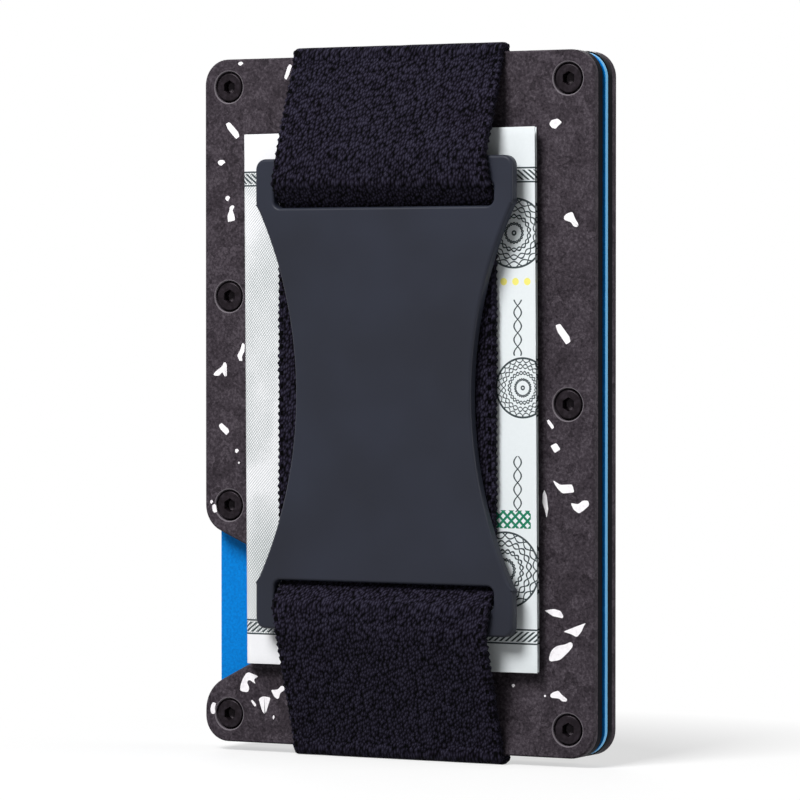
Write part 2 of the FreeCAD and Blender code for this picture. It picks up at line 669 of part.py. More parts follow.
def make_folded_notes(label):
    """Banknotes folded in four: a round fold at the left, free edges in steps at the right."""
    half_width = number("Sizes.note_width / 2")
    thickness = number("Sizes.note_thickness")
    step = number("Sizes.note_step")
    layer = thickness / 4
    body = new_body(label, "Sizes.note_centre", "%s - %s" % (FRONT_FACE_Y, NOTE_TOP),
                    "%s + Sizes.note_raise" % MIDDLE_Z)
    section = new_sketch(body, "XY_Plane", label + "_section")
    corners = [(-half_width, 0), (half_width, 0)]
    for layers in (1, 2, 3):
        corners += [(half_width - (layers - 1) * step, layers * layer),
                    (half_width - layers * step, layers * layer)]
    corners += [(half_width - 3 * step, thickness), (-half_width, thickness)]
    fold = 0.98 * thickness / 2
    draw(section, rounded_outline(corners, [fold] + [0] * (len(corners) - 2) + [fold]))
    pad(body, section, "Sizes.note_height", midplane=True)
    return body


# ---------------------------------------------------------------- the whole wallet

make_outer_plate("front_outer_plate", front=True)
make_inner_plate("front_inner_plate", front=True)
make_inner_plate("rear_inner_plate", front=False)
make_outer_plate("rear_outer_plate", front=False)
for half_name in ("front", "rear"):
    for screw_number, screw_place in enumerate(screw_places(), start=1):
        make_screw("%s_screw_%d" % (half_name, screw_number), screw_place, half_name == "front")
make_elastic_band("elastic_band")
make_elastic_web("elastic_web")
make_cash_strap("cash_strap")
make_clip("cash_clip")
make_card("payment_card")
make_folded_notes("folded_notes")
doc.recompute()

for item in doc.Objects:
    if "Invalid" in item.State or "Error" in item.State:
        raise ValueError("%s failed: %s" % (item.Name, item.State))
os.makedirs("parts", exist_ok=True)
for body in [item for item in doc.Objects if item.TypeId == "PartDesign::Body"]:
    shape = body.Shape
    if shape.isNull() or not shape.isValid():
        raise ValueError("%s has no valid shape" % body.Label)
    shape.exportStep("parts/%s.step" % body.Label)
    box = shape.BoundBox
    print("%-18s %9.2f mm3  x %7.2f %6.2f  y %6.2f %6.2f  z %6.2f %6.2f" % (
        body.Label, shape.Volume, box.XMin, box.XMax, box.YMin, box.YMax, box.ZMin, box.ZMax))
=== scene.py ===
"""Visual model of a minimalist card wallet with a cash strap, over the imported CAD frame.

The wallet stands on its short end. Two forged-carbon outer plates are screwed to black
anodised inner plates, a card sits in the gap, and a woven strap holds an hourglass clip
on folded banknotes. Everything is in metres in the row frame; sizes are given in
millimetres and turned by MM.
"""

import logging
import math
import random
from contextlib import contextmanager
from dataclasses import dataclass, field
from enum import Enum
from functools import lru_cache
from typing import Callable, Iterator, Sequence

import bmesh
import bpy
from mathutils import Matrix, Vector, noise
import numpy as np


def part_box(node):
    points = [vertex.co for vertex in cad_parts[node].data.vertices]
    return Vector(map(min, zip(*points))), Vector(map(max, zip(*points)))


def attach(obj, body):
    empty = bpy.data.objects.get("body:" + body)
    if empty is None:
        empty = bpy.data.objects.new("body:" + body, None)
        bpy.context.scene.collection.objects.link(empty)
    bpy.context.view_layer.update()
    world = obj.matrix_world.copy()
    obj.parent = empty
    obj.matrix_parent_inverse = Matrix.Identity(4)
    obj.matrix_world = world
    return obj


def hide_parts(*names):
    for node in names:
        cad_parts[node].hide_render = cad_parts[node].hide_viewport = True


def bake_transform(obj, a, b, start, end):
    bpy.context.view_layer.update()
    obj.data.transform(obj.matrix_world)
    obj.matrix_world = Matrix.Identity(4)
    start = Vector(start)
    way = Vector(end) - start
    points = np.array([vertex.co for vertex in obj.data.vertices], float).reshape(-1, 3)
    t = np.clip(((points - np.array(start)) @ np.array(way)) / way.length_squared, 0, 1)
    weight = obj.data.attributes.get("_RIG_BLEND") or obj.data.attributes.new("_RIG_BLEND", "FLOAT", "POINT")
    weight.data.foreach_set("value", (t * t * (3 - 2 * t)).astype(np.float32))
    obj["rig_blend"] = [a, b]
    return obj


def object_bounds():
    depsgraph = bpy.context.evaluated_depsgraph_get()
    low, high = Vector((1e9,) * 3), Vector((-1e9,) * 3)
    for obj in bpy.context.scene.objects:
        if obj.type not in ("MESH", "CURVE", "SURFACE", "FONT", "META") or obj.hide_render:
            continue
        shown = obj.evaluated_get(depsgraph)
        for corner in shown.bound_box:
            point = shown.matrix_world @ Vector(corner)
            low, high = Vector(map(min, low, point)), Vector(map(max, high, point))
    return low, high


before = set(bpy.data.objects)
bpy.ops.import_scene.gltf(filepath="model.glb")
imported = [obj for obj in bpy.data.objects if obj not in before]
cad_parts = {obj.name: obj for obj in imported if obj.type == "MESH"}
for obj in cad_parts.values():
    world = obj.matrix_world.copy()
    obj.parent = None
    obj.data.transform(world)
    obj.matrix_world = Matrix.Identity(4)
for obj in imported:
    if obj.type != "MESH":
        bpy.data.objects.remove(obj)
CAD_BOX = [list(corner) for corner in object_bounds()]

log = logging.getLogger("wallet")
MM = 0.001
WELD = 0.002 * MM  # vertices closer than this are one
NEAR = 1e-6  # places closer than this, in metres, are the same


# ---------------------------------------------------------------- small tools

class Element(Enum):
    """Kinds of mesh element that an edit works on."""

    VERTEX = "VERT"
    EDGE = "EDGE"
    FACE = "FACE"


def linear(colour: str) -> tuple[float, float, float, float]:
    """Turn an sRGB hex colour into linear RGBA.

    Args:
        colour: Six hex digits after a hash.

    Returns:
        The linear colour with an alpha of 1.
    """
    parts = [int(colour[i:i + 2], 16) / 255 for i in (1, 3, 5)]
    return (*[c / 12.92 if c <= 0.04045 else ((c + 0.055) / 1.055) ** 2.4 for c in parts], 1.0)


def deselect() -> None:
    """Leave every object unselected, in object mode."""
    if bpy.context.object is not None and bpy.context.object.mode != "OBJECT":
        bpy.ops.object.mode_set(mode="OBJECT")
    bpy.ops.object.select_all(action="DESELECT")


def activate(piece: bpy.types.Object) -> None:
    """Make one object the only selected and active one.

    Args:
        piece: The object.
    """
    deselect()
    piece.select_set(True)
    bpy.context.view_layer.objects.active = piece


@contextmanager
def editing(piece: bpy.types.Object) -> Iterator[None]:
    """Hold a piece in edit mode with nothing selected.

    Args:
        piece: The object to edit.

    Returns:
        The context, which gives nothing itself.
    """
    activate(piece)
    bpy.ops.object.mode_set(mode="EDIT")
    bpy.ops.mesh.select_all(action="DESELECT")
    yield
    bpy.ops.object.mode_set(mode="OBJECT")


def pick(piece: bpy.types.Object, kind: Element, test: Callable[..., bool]) -> int:
    """Select only the elements of an edited mesh that a test accepts.

    Args:
        piece: The object in edit mode.
        kind: What is tested.
        test: Takes one element and says whether it is selected.

    Returns:
        How many elements are selected.
    """
    bpy.ops.mesh.select_mode(type=kind.value)
    bpy.ops.mesh.select_all(action="DESELECT")
    mesh = bmesh.from_edit_mesh(piece.data)
    elements = {Element.VERTEX: mesh.verts, Element.EDGE: mesh.edges,
                Element.FACE: mesh.faces}[kind]
    found = [element for element in elements if test(element)]
    for element in found:
        element.select_set(True)
    bmesh.update_edit_mesh(piece.data)
    return len(found)


def apply_modifier(piece: bpy.types.Object, kind: str, **settings: object) -> None:
    """Add one modifier with its settings and apply it.

    Args:
        piece: The object.
        kind: The modifier's type.
        settings: The modifier's own properties.
    """
    activate(piece)
    modifier = piece.modifiers.new(kind.title(), kind)
    for name, value in settings.items():
        setattr(modifier, name, value)
    bpy.ops.object.modifier_apply(modifier=modifier.name)


def fix_place(piece: bpy.types.Object) -> None:
    """Apply an object's place, turn and scale into its mesh."""
    activate(piece)
    bpy.ops.object.transform_apply(location=True, rotation=True, scale=True)


def settle(piece: bpy.types.Object, angle: float = 35.0) -> None:
    """Apply the place into the mesh, point faces outwards and set its shading.

    Args:
        piece: The modelled object.
        angle: Edges sharper than this many degrees stay crisp.
    """
    fix_place(piece)
    with editing(piece):
        bpy.ops.mesh.select_all(action="SELECT")
        bpy.ops.mesh.normals_make_consistent(inside=False)
    activate(piece)
    bpy.ops.object.shade_smooth_by_angle(angle=math.radians(angle))
    apply_modifier(piece, "WEIGHTED_NORMAL", keep_sharp=True)


def cut(piece: bpy.types.Object, tools: Sequence[bpy.types.Object]) -> None:
    """Cut a piece with other solids and remove those.

    Args:
        piece: The object that is cut.
        tools: The solids that it is cut with.
    """
    for tool in tools:
        apply_modifier(piece, "BOOLEAN", operation="DIFFERENCE", solver="EXACT", object=tool)
        bpy.data.objects.remove(tool, do_unlink=True)


def rename(piece: bpy.types.Object, name: str) -> bpy.types.Object:
    """Give an object and its mesh one name.

    Args:
        piece: The object.
        name: Its new name.

    Returns:
        The same object.
    """
    piece.name = name
    piece.data.name = name
    return piece


def add_solid(operator: Callable[..., object], **settings: object) -> bpy.types.Object:
    """Add a primitive as an object of its own with nothing else selected.

    Args:
        operator: The operator that adds it.
        settings: The operator's own settings.

    Returns:
        The new object.
    """
    deselect()
    operator(**settings)
    return bpy.context.object


def add_block(name: str, middle: Sequence[float], size: Sequence[float]) -> bpy.types.Object:
    """Add a block with its size in its mesh.

    Args:
        name: The object's name.
        middle: Its middle.
        size: Its size along the three axes.

    Returns:
        The new object.
    """
    block = add_solid(bpy.ops.mesh.primitive_cube_add, size=1, location=middle, scale=size)
    fix_place(block)
    return rename(block, name)


def copy_of(piece: bpy.types.Object, name: str) -> bpy.types.Object:
    """Copy an object's mesh into a new object that carries none of its settings.

    Args:
        piece: The object to copy.
        name: Name of the copy.

    Returns:
        The copy.
    """
    made = bpy.data.objects.new(name, piece.data.copy())
    bpy.context.collection.objects.link(made)
    return rename(made, name)


def dress(piece: bpy.types.Object, material: bpy.types.Material, body: str, slot: str,
          *nodes: str) -> bpy.types.Object:
    """Give a finished piece its finish, its body and the CAD nodes it stands for.

    Args:
        piece: The finished object.
        material: Its only finish.
        body: The body that it rides on, or an empty string where it is blended.
        slot: A material slot's name; not used.
        nodes: CAD nodes that it replaces.

    Returns:
        The same piece.
    """
    piece.data.materials.clear()
    piece.data.materials.append(material)
    if nodes:
        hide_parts(*nodes)
    if body:
        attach(piece, body)
    log.info("%-22s %6d faces", piece.name, len(piece.data.polygons))
    return piece


@lru_cache(maxsize=None)
def node_box(node: str) -> tuple[Vector, Vector]:
    """Lowest and highest corner of a CAD node at rest."""
    low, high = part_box(node)
    return Vector(low), Vector(high)


# ---------------------------------------------------------------- finishes

Output = bpy.types.Node | bpy.types.NodeSocket | float | tuple


class Shading:
    """Node tree of one material or world, built from its pattern towards its surface."""

    def __init__(self, owner: bpy.types.Material | bpy.types.World) -> None:
        """Empty the node tree of a new material or world.

        Args:
            owner: The material or world.
        """
        self.owner = owner
        owner.use_nodes = True
        self.tree = owner.node_tree
        self.tree.nodes.clear()

    @classmethod
    def material(cls, name: str) -> "Shading":
        """Start an empty material."""
        return cls(bpy.data.materials.new(name))

    def add(self, kind: str, *values: Output, sockets: dict[str, Output] | None = None,
            stops: Sequence[tuple[float, str]] = (), **settings: object) -> bpy.types.Node:
        """Add one node with its settings and links.

        Args:
            kind: Node type after "ShaderNode".
            values: What goes into its inputs in use, in their order.
            sockets: What goes into inputs by name.
            stops: Place and sRGB colour of each stop, for a colour ramp.
            settings: The node's own properties.

        Returns:
            The node.
        """
        node = self.tree.nodes.new("ShaderNode" + kind)
        for name, value in settings.items():
            setattr(node, name, value)
        for number, (place, colour) in enumerate(stops):
            elements = node.color_ramp.elements
            element = elements[number] if number < 2 else elements.new(place)
            element.position, element.color = place, linear(colour)
        used = [socket for socket in node.inputs if socket.enabled]
        named = [(node.inputs[name], value) for name, value in (sockets or {}).items()]
        for socket, value in [*zip(used, values), *named]:
            if isinstance(value, bpy.types.Node):
                value = next(output for output in value.outputs if output.enabled)
            if isinstance(value, bpy.types.NodeSocket):
                self.tree.links.new(value, socket)
            else:
                socket.default_value = value
        return node

    def place(self, centre: Sequence[float] = (0, 0, 0),
              cell: Sequence[float] = (1, 1, 1)) -> bpy.types.Node:
        """Give object coordinates from a centre, counted in cells.

        Args:
            centre: Where the coordinates are 0, in metres.
            cell: Size of one cell along the three axes, in millimetres.

        Returns:
            The node that gives them.
        """
        moved = self.add("VectorMath", self.add("TexCoord").outputs["Object"], tuple(centre),
                         operation="SUBTRACT")
        return self.add("VectorMath", moved, tuple(1 / (size * MM) for size in cell),
                        operation="MULTIPLY")

    def backdrop_rays(self) -> bpy.types.Node:
        """Tell the rays that show the background: directly, mirrored or through glass.

        Returns:
            A node that gives 1 for these rays and 0 for the others.
        """
        rays = self.add("LightPath").outputs
        mirrored = self.add("Math", rays["Is Glossy Ray"], rays["Is Transmission Ray"],
                            operation="MAXIMUM")
        return self.add("Math", rays["Is Camera Ray"], mirrored, operation="MAXIMUM")

    def surface(self, relief: Output | None = None, depth_mm: float = 0.02,
                strength: float = 0.3, **inputs: Output) -> bpy.types.Material:
        """Close the material with a Principled surface.

        Args:
            relief: Height of its fine relief between 0 and 1.
            depth_mm: Depth of the relief.
            strength: Share of the relief that is shown.
            inputs: Values for the surface by socket name with _ for a space.

        Returns:
            The material.
        """
        sockets = {name.replace("_", " "): value for name, value in inputs.items()}
        if relief is not None:
            sockets["Normal"] = self.add("Bump", sockets={
                "Strength": strength, "Distance": depth_mm * MM, "Height": relief})
        shader = self.add("BsdfPrincipled", sockets=sockets)
        self.add("OutputMaterial", shader)
        return self.owner


@dataclass(frozen=True)
class ForgedCarbon:
    """Forged carbon: chopped tow pressed in dark resin, lightly sanded and matte.

    The eye sees a brown-grey face mottled in chips a millimetre or two wide, curled dark
    strands between them and a grain of resin a few tenths of a millimetre fine. The rims of
    the screw seats are painted pale, a painted highlight for the light that their chamfers
    catch. The grain is drawn coarser than the real fibres, which are too fine to show.
    """

    dark: str = "#1e1a1e"
    middle: str = "#3b353b"
    light: str = "#5a535a"
    strand: str = "#211d21"
    # Pale colour painted on the screw seats' rims as a highlight, and how strongly it is painted.
    rim: str = "#7a747a"
    seat_rim_highlight_share: float = 0.7
    chip_mm: float = 1.5
    chip_contrast: float = 0.12
    wander: float = 3.0
    curl_mm: float = 3.2
    curl_width: float = 0.018
    curl_strength: float = 0.55
    curl_cover: float = 0.55
    grain_mm: float = 0.38
    grain_contrast: float = 0.78

    def build(self, name: str) -> bpy.types.Material:
        """Build the material.

        Args:
            name: The material's name.

        Returns:
            The material.
        """
        paint = Shading.material(name)
        place = paint.place()
        wander = paint.add("TexNoise", sockets={"Vector": place, "Scale": 0.5, "Detail": 3.0})
        warped = paint.add("VectorMath", wander.outputs["Color"], (self.wander,) * 3, place,
                           operation="MULTIPLY_ADD")
        chips = paint.add("TexVoronoi", sockets={"Vector": warped, "Scale": 1 / self.chip_mm})
        shade = paint.add("SeparateColor", chips.outputs["Color"])
        grain = paint.add("TexNoise", sockets={"Vector": place, "Scale": 1 / self.grain_mm,
                                               "Detail": 3.0, "Roughness": 0.75})
        fine = paint.add("Math", grain, self.grain_contrast, operation="MULTIPLY")
        mottle = paint.add("Math", shade, self.chip_contrast, fine, operation="MULTIPLY_ADD")
        base = paint.add("ValToRGB", mottle, stops=[
            (0.23, self.dark), (0.45, self.middle), (0.67, self.light)])
        curls = paint.add("TexNoise", sockets={"Vector": warped, "Scale": 1 / self.curl_mm,
                                               "Detail": 2.0})
        line = paint.add("Math", curls, 0.5, self.curl_width, operation="COMPARE")
        broken = paint.add("Math", shade.outputs[1], self.curl_cover, operation="GREATER_THAN")
        strands = paint.add("Math", line, broken, operation="MULTIPLY")
        drawn = paint.add("Math", strands, self.curl_strength, operation="MULTIPLY")
        colour = paint.add("Mix", drawn, base, linear(self.strand), data_type="RGBA")
        # Painted highlight: the faces round the screw seats are painted pale, for the light that their
        # chamfers catch.
        seat_rim_faces = paint.add("Attribute", attribute_name=WalletHalf.RIM_LAYER).outputs["Fac"]
        worn = paint.add("Math", seat_rim_faces, self.seat_rim_highlight_share, operation="MULTIPLY")
        colour = paint.add("Mix", worn, colour, linear(self.rim), data_type="RGBA")
        rough = paint.add("Math", shade.outputs[1], 0.14, 0.48, operation="MULTIPLY_ADD")
        return paint.surface(mottle, 0.03, 0.4, Base_Color=colour, Roughness=rough,
                             Specular_IOR_Level=0.04)


@dataclass(frozen=True)
class FibreFlake:
    """Pale glass-fibre flake pressed flush in the resin: matte, near white, faint grain."""

    face: str = "#fbf8fb"
    shade: str = "#e6e1e6"
    fibre_mm: float = 0.5

    def build(self, name: str) -> bpy.types.Material:
        """Build the material.

        Args:
            name: The material's name.

        Returns:
            The material.
        """
        paint = Shading.material(name)
        fibres = paint.add("TexNoise", sockets={"Vector": paint.place(), "Detail": 4.0,
                                                "Scale": 1 / self.fibre_mm})
        colour = paint.add("ValToRGB", fibres, stops=[(0.25, self.shade), (0.5, self.face)])
        return paint.surface(fibres, 0.01, 0.3, Base_Color=colour, Roughness=0.6)


@dataclass(frozen=True)
class AnodisedAluminium:
    """Milled aluminium, black anodised: near black, with fine tool lines.

    The dyed oxide film hides the metal, so the eye sees a dull film and no metal sheen.
    """

    face: str = "#05070d"
    worn: str = "#0e1017"
    tool_line_mm: float = 0.22

    def build(self, name: str) -> bpy.types.Material:
        """Build the material.

        Args:
            name: The material's name.

        Returns:
            The material.
        """
        paint = Shading.material(name)
        lines = paint.add("TexNoise", sockets={
            "Vector": paint.place(cell=(25.0, self.tool_line_mm, 25.0)), "Scale": 1.0,
            "Detail": 3.0})
        cloud = paint.add("TexNoise", sockets={"Vector": paint.place(), "Scale": 0.4,
                                               "Detail": 3.0})
        colour = paint.add("ValToRGB", cloud, stops=[(0.35, self.face), (0.75, self.worn)])
        rough = paint.add("Math", lines, 0.14, 0.30, operation="MULTIPLY_ADD")
        return paint.surface(lines, 0.01, 0.15, Base_Color=colour, Roughness=rough,
                             Specular_IOR_Level=0.01)


@dataclass(frozen=True)
class BlackOxideSteel:
    """Alloy-steel screw blackened in oxide: brown-black, a slight oily sheen, worn paler."""

    face: str = "#1b161a"
    worn: str = "#2f292f"
    wear_mm: float = 0.45

    def build(self, name: str) -> bpy.types.Material:
        """Build the material.

        Args:
            name: The material's name.

        Returns:
            The material.
        """
        paint = Shading.material(name)
        wear = paint.add("TexNoise", sockets={"Vector": paint.place(), "Detail": 4.0,
                                              "Scale": 1 / self.wear_mm})
        colour = paint.add("ValToRGB", wear, stops=[(0.4, self.face), (0.8, self.worn)])
        rough = paint.add("Math", wear, 0.16, 0.28, operation="MULTIPLY_ADD")
        return paint.surface(wear, 0.01, 0.1, Base_Color=colour, Roughness=rough, Metallic=0.4,
                             Specular_IOR_Level=0.1)


@dataclass(frozen=True)
class WovenElastic:
    """Heavy woven elastic: rubber cores wrapped in textured polyester, dyed black.

    The eye sees rows of small raised loops of a dull violet-grey, pits between them and a
    row of deeper pits along each selvage. Their light and shade are painted into the
    colour: a painted highlight on the loops' crowns, painted shade on their flanks and
    black painted shade in the pits.
    """

    width_mm: float
    # The lightest colour is a painted highlight on the loops' crowns; the two darkest are painted shade on
    # their flanks and in the pits.
    crown_highlight: str = "#32303f"
    loop: str = "#1d1a26"
    flank_shade: str = "#100e16"
    pit_shade: str = "#010102"
    column_mm: float = 0.36
    row_mm: float = 0.50
    lean: float = 0.4
    relief_mm: float = 0.16
    irregular: float = 0.8
    loop_contrast: float = 0.34
    fuzz_contrast: float = 0.6
    pit_level: float = 0.42
    selvage_mm: float = 0.6
    selvage_half_mm: float = 0.22
    selvage_pitch_mm: float = 1.66
    selvage_depth: float = 1.4

    def build(self, name: str) -> bpy.types.Material:
        """Build the material.

        Args:
            name: The material's name.

        Returns:
            The material.
        """
        paint = Shading.material(name)
        flat = paint.add("VectorMath", paint.add("UVMap", uv_map=Ribbon.UV_NAME),
                         (1 / MM, 1 / MM, 1.0), operation="MULTIPLY")
        parts = paint.add("SeparateXYZ", flat)
        across = paint.add("Math", parts.outputs["X"], 1 / self.column_mm, operation="MULTIPLY")
        along = paint.add("Math", parts.outputs["Y"], 1 / self.row_mm, operation="MULTIPLY")
        leaning = paint.add("Math", across, self.lean, along, operation="MULTIPLY_ADD")
        cloth = paint.add("CombineXYZ", across, leaning)
        loops = paint.add("TexVoronoi", feature="SMOOTH_F1", voronoi_dimensions="2D", sockets={
            "Vector": cloth, "Scale": 1.0, "Randomness": self.irregular, "Smoothness": 0.2})
        tone = paint.add("SeparateColor", loops.outputs["Color"])
        fuzz = paint.add("TexNoise", noise_dimensions="2D", sockets={
            "Vector": cloth, "Scale": 1.7, "Detail": 3.0, "Roughness": 0.7})
        crown = paint.add("Math", 1.0, loops, operation="SUBTRACT")
        lit = paint.add("Math", tone, self.loop_contrast, crown, operation="MULTIPLY_ADD")
        lit = paint.add("Math", fuzz, self.fuzz_contrast, lit, operation="MULTIPLY_ADD")
        lit = paint.add("Math", lit, self.pit_level, operation="SUBTRACT")

        from_edge = paint.add("Math", parts.outputs["X"], self.width_mm / 2,
                              operation="SUBTRACT")
        from_edge = paint.add("Math", from_edge, operation="ABSOLUTE")
        seam = paint.add("Math", from_edge, self.width_mm / 2 - self.selvage_mm,
                         self.selvage_half_mm, operation="COMPARE")
        phase = paint.add("Math", parts.outputs["Y"], math.tau / self.selvage_pitch_mm,
                          operation="MULTIPLY")
        beat = paint.add("Math", phase, operation="SINE")
        struck = paint.add("Math", beat, 0.5, operation="GREATER_THAN")
        # Holes along each selvage: they sink the relief, and their colour is painted black as shade.
        holes = paint.add("Math", seam, struck, operation="MULTIPLY")
        lit = paint.add("Math", holes, -self.selvage_depth, lit, operation="MULTIPLY_ADD")
        # Painted light and shade: lighter crowns, darker flanks and black pits, following the relief.
        colour = paint.add("ValToRGB", lit, stops=[
            (0.32, self.pit_shade), (0.48, self.flank_shade), (0.72, self.loop), (1.0, self.crown_highlight)])
        return paint.surface(lit, self.relief_mm, 0.9, Base_Color=colour, Roughness=0.85,
                             Specular_IOR_Level=0.03, Sheen_Weight=0.01, Sheen_Roughness=0.5)


@dataclass(frozen=True)
class MouldedNylon:
    """Glass-filled nylon, moulded in slate grey: satin, fine spark-eroded grain."""

    face: str = "#24262f"
    bloom: str = "#292c37"
    grain_mm: float = 0.2
    bloom_mm: float = 12.0

    def build(self, name: str) -> bpy.types.Material:
        """Build the material.

        Args:
            name: The material's name.

        Returns:
            The material.
        """
        paint = Shading.material(name)
        place = paint.place()
        grain = paint.add("TexNoise", sockets={"Vector": place, "Scale": 1 / self.grain_mm,
                                               "Detail": 2.0})
        cloud = paint.add("TexNoise", sockets={"Vector": place, "Scale": 1 / self.bloom_mm,
                                               "Detail": 2.0})
        colour = paint.add("ValToRGB", cloud, stops=[(0.35, self.face), (0.7, self.bloom)])
        rough = paint.add("Math", grain, 0.1, 0.36, operation="MULTIPLY_ADD")
        return paint.surface(grain, 0.012, 0.15, Base_Color=colour, Roughness=rough,
                             Specular_IOR_Level=0.15)


@dataclass(frozen=True)
class LaminatedCard:
    """Laminated PVC card, printed blue all over: satin film over a fine print grain.

    The sheared edge shows the paler core between the printed films.
    """

    face: str = "#0382d9"
    low: str = "#036fc1"
    edge: str = "#76c0f0"
    grain_mm: float = 0.35
    half_core_mm: float = 0.33

    def build(self, name: str, middle: Vector) -> bpy.types.Material:
        """Build the material.

        Args:
            name: The material's name.
            middle: Middle of the card in the row frame.

        Returns:
            The material.
        """
        paint = Shading.material(name)
        place = paint.place(middle)
        grain = paint.add("TexNoise", sockets={"Vector": place, "Scale": 1 / self.grain_mm,
                                               "Detail": 3.0, "Roughness": 0.65})
        face = paint.add("ValToRGB", grain, stops=[(0.32, self.low), (0.62, self.face)])
        depth = paint.add("Math", paint.add("SeparateXYZ", place).outputs["Y"],
                          operation="ABSOLUTE")
        core = paint.add("Math", depth, self.half_core_mm, operation="LESS_THAN")
        colour = paint.add("Mix", core, face, linear(self.edge), data_type="RGBA")
        return paint.surface(grain, 0.01, 0.1, Base_Color=colour, Roughness=0.42,
                             Specular_IOR_Level=0.08)


@dataclass(frozen=True)
class Rosette:
    """One engraved rosette on a note: middle, radius and ring pitch in millimetres."""

    across: float
    up: float
    radius: float
    petals: int
    pitch: float


@dataclass(frozen=True)
class EngravedNote:
    """Cotton banknote paper with generic engraved lines: no words, figures or portrait.

    The eye sees off-white paper with fine grey line work on the left, a ruled frame near
    the short ends, and rosettes, a wavy vine and small green and gold fields on the right.
    Places are in millimetres from the middle of the note, across and up.

    Attributes:
        hatch_mm: Pitch that the fine rulings are scaled from.
        left_field_mm: Right limit of the rulings.
        right_field_mm: Left limit of the tinted field.
        margin_mm: Height of the outer rule of the frame, up and down.
        drop_mm: How far below the middle of the sheet the frame is printed.
        frame_mm: From the outer rule to the inner one.
        stroke_mm: Pitch of the frame's strokes, and half the height of their row.
        line_mm: Half the width of a rule and of the vine.
        vine_across: Middle of the vine.
        vine_swing: Half its swing.
        vine_up: Middle of its upper stretch; a lower one mirrors it.
        vine_half: Half the length of a stretch.
        vine_turn: Radians that it turns in a millimetre.
        lattice_place: Middle of the green lattice.
        lattice_half: Half its width and height.
        lattice_mm: Its pitch.
        dot_up: Height of the row of gold dots.
        dot_gap: Half the way from dot to dot.
        dot_radius: Radius of a dot.
        ring_swing: Share of its radius that a rosette's ring swings in and out.
        ring_level: Height of the rings' wave that is drawn: the higher, the thinner.
        rim_mm: Half the width of a rosette's outer ring.
        tint_share: Strength of the tinted field.
        pulp_share: Strength of the paper's mottle.
        tone_share: Strength of the fine ruling.
    """

    paper: str = "#f4f4f7"
    tint: str = "#e2e9eb"
    ink: str = "#3c4548"
    pale_ink: str = "#8f9a98"
    green: str = "#1f7a5c"
    gold: str = "#f0e77a"
    hatch_mm: float = 0.28
    left_field_mm: float = -9.0
    right_field_mm: float = 11.0
    margin_mm: float = 28.9
    drop_mm: float = 0.6
    frame_mm: float = 1.7
    stroke_mm: float = 0.62
    line_mm: float = 0.10
    vine_across: float = 17.9
    vine_swing: float = 0.5
    vine_up: float = 9.5
    vine_half: float = 3.4
    vine_turn: float = 1.9
    lattice_place: tuple[float, float] = (17.2, -14.4)
    lattice_half: tuple[float, float] = (2.5, 1.1)
    lattice_mm: float = 1.1
    dot_up: float = 14.5
    dot_gap: float = 0.8
    dot_radius: float = 0.45
    ring_swing: float = 0.1
    ring_level: float = 0.8
    rim_mm: float = 0.12
    tint_share: float = 0.8
    pulp_share: float = 0.1
    tone_share: float = 0.65
    rosettes: tuple[Rosette, ...] = (
        Rosette(17.4, 20.4, 4.2, 9, 0.9), Rosette(18.6, 1.6, 3.6, 12, 0.8),
        Rosette(16.2, -20.6, 4.6, 10, 1.0))

    def rosette(self, paint: Shading, x: Output, z: Output, motif: Rosette) -> bpy.types.Node:
        """Draw nested wavy rings in a circle.

        Args:
            paint: The material's tree.
            x: Place across the note.
            z: Place up the note.
            motif: The rosette.

        Returns:
            A node that gives 1 on the lines and 0 elsewhere.
        """
        across = paint.add("Math", x, motif.across, operation="SUBTRACT")
        up = paint.add("Math", z, motif.up, operation="SUBTRACT")
        distance = paint.add("VectorMath", paint.add("CombineXYZ", across, up),
                             operation="LENGTH").outputs["Value"]
        angle = paint.add("Math", up, across, operation="ARCTAN2")
        petals = paint.add("Math", angle, float(motif.petals), operation="MULTIPLY")
        wave = paint.add("Math", petals, operation="SINE")
        depth = paint.add("Math", wave, self.ring_swing, operation="MULTIPLY")
        swing = paint.add("Math", depth, distance, operation="MULTIPLY")
        rings = []
        for way in ("ADD", "SUBTRACT"):
            bent = paint.add("Math", distance, swing, operation=way)
            turns = paint.add("Math", bent, math.tau / motif.pitch, operation="MULTIPLY")
            rings.append(paint.add("Math", turns, operation="SINE"))
        crests = paint.add("Math", *rings, operation="MAXIMUM")
        lines = paint.add("Math", crests, self.ring_level, operation="GREATER_THAN")
        inside = paint.add("Math", distance, motif.radius, operation="LESS_THAN")
        rim = paint.add("Math", distance, motif.radius, self.rim_mm, operation="COMPARE")
        drawn = paint.add("Math", lines, inside, operation="MULTIPLY")
        return paint.add("Math", drawn, rim, operation="MAXIMUM")

    def ruling(self, paint: Shading, x: Output, z: Output, lean: float, pitch: float,
               weight: Output) -> bpy.types.Node:
        """Draw slanting ruled lines.

        Args:
            paint: The material's tree.
            x: Place across the note.
            z: Place up the note.
            lean: How far the lines fall for each millimetre across.
            pitch: Pitch of the lines along z, in millimetres.
            weight: Level that the lines' wave has to pass: the higher, the thinner they are.

        Returns:
            A node that gives 1 on the lines and 0 elsewhere.
        """
        leaning = paint.add("Math", x, lean, z, operation="MULTIPLY_ADD")
        phase = paint.add("Math", leaning, math.tau / pitch, operation="MULTIPLY")
        wave = paint.add("Math", phase, operation="SINE")
        return paint.add("Math", wave, weight, operation="GREATER_THAN")

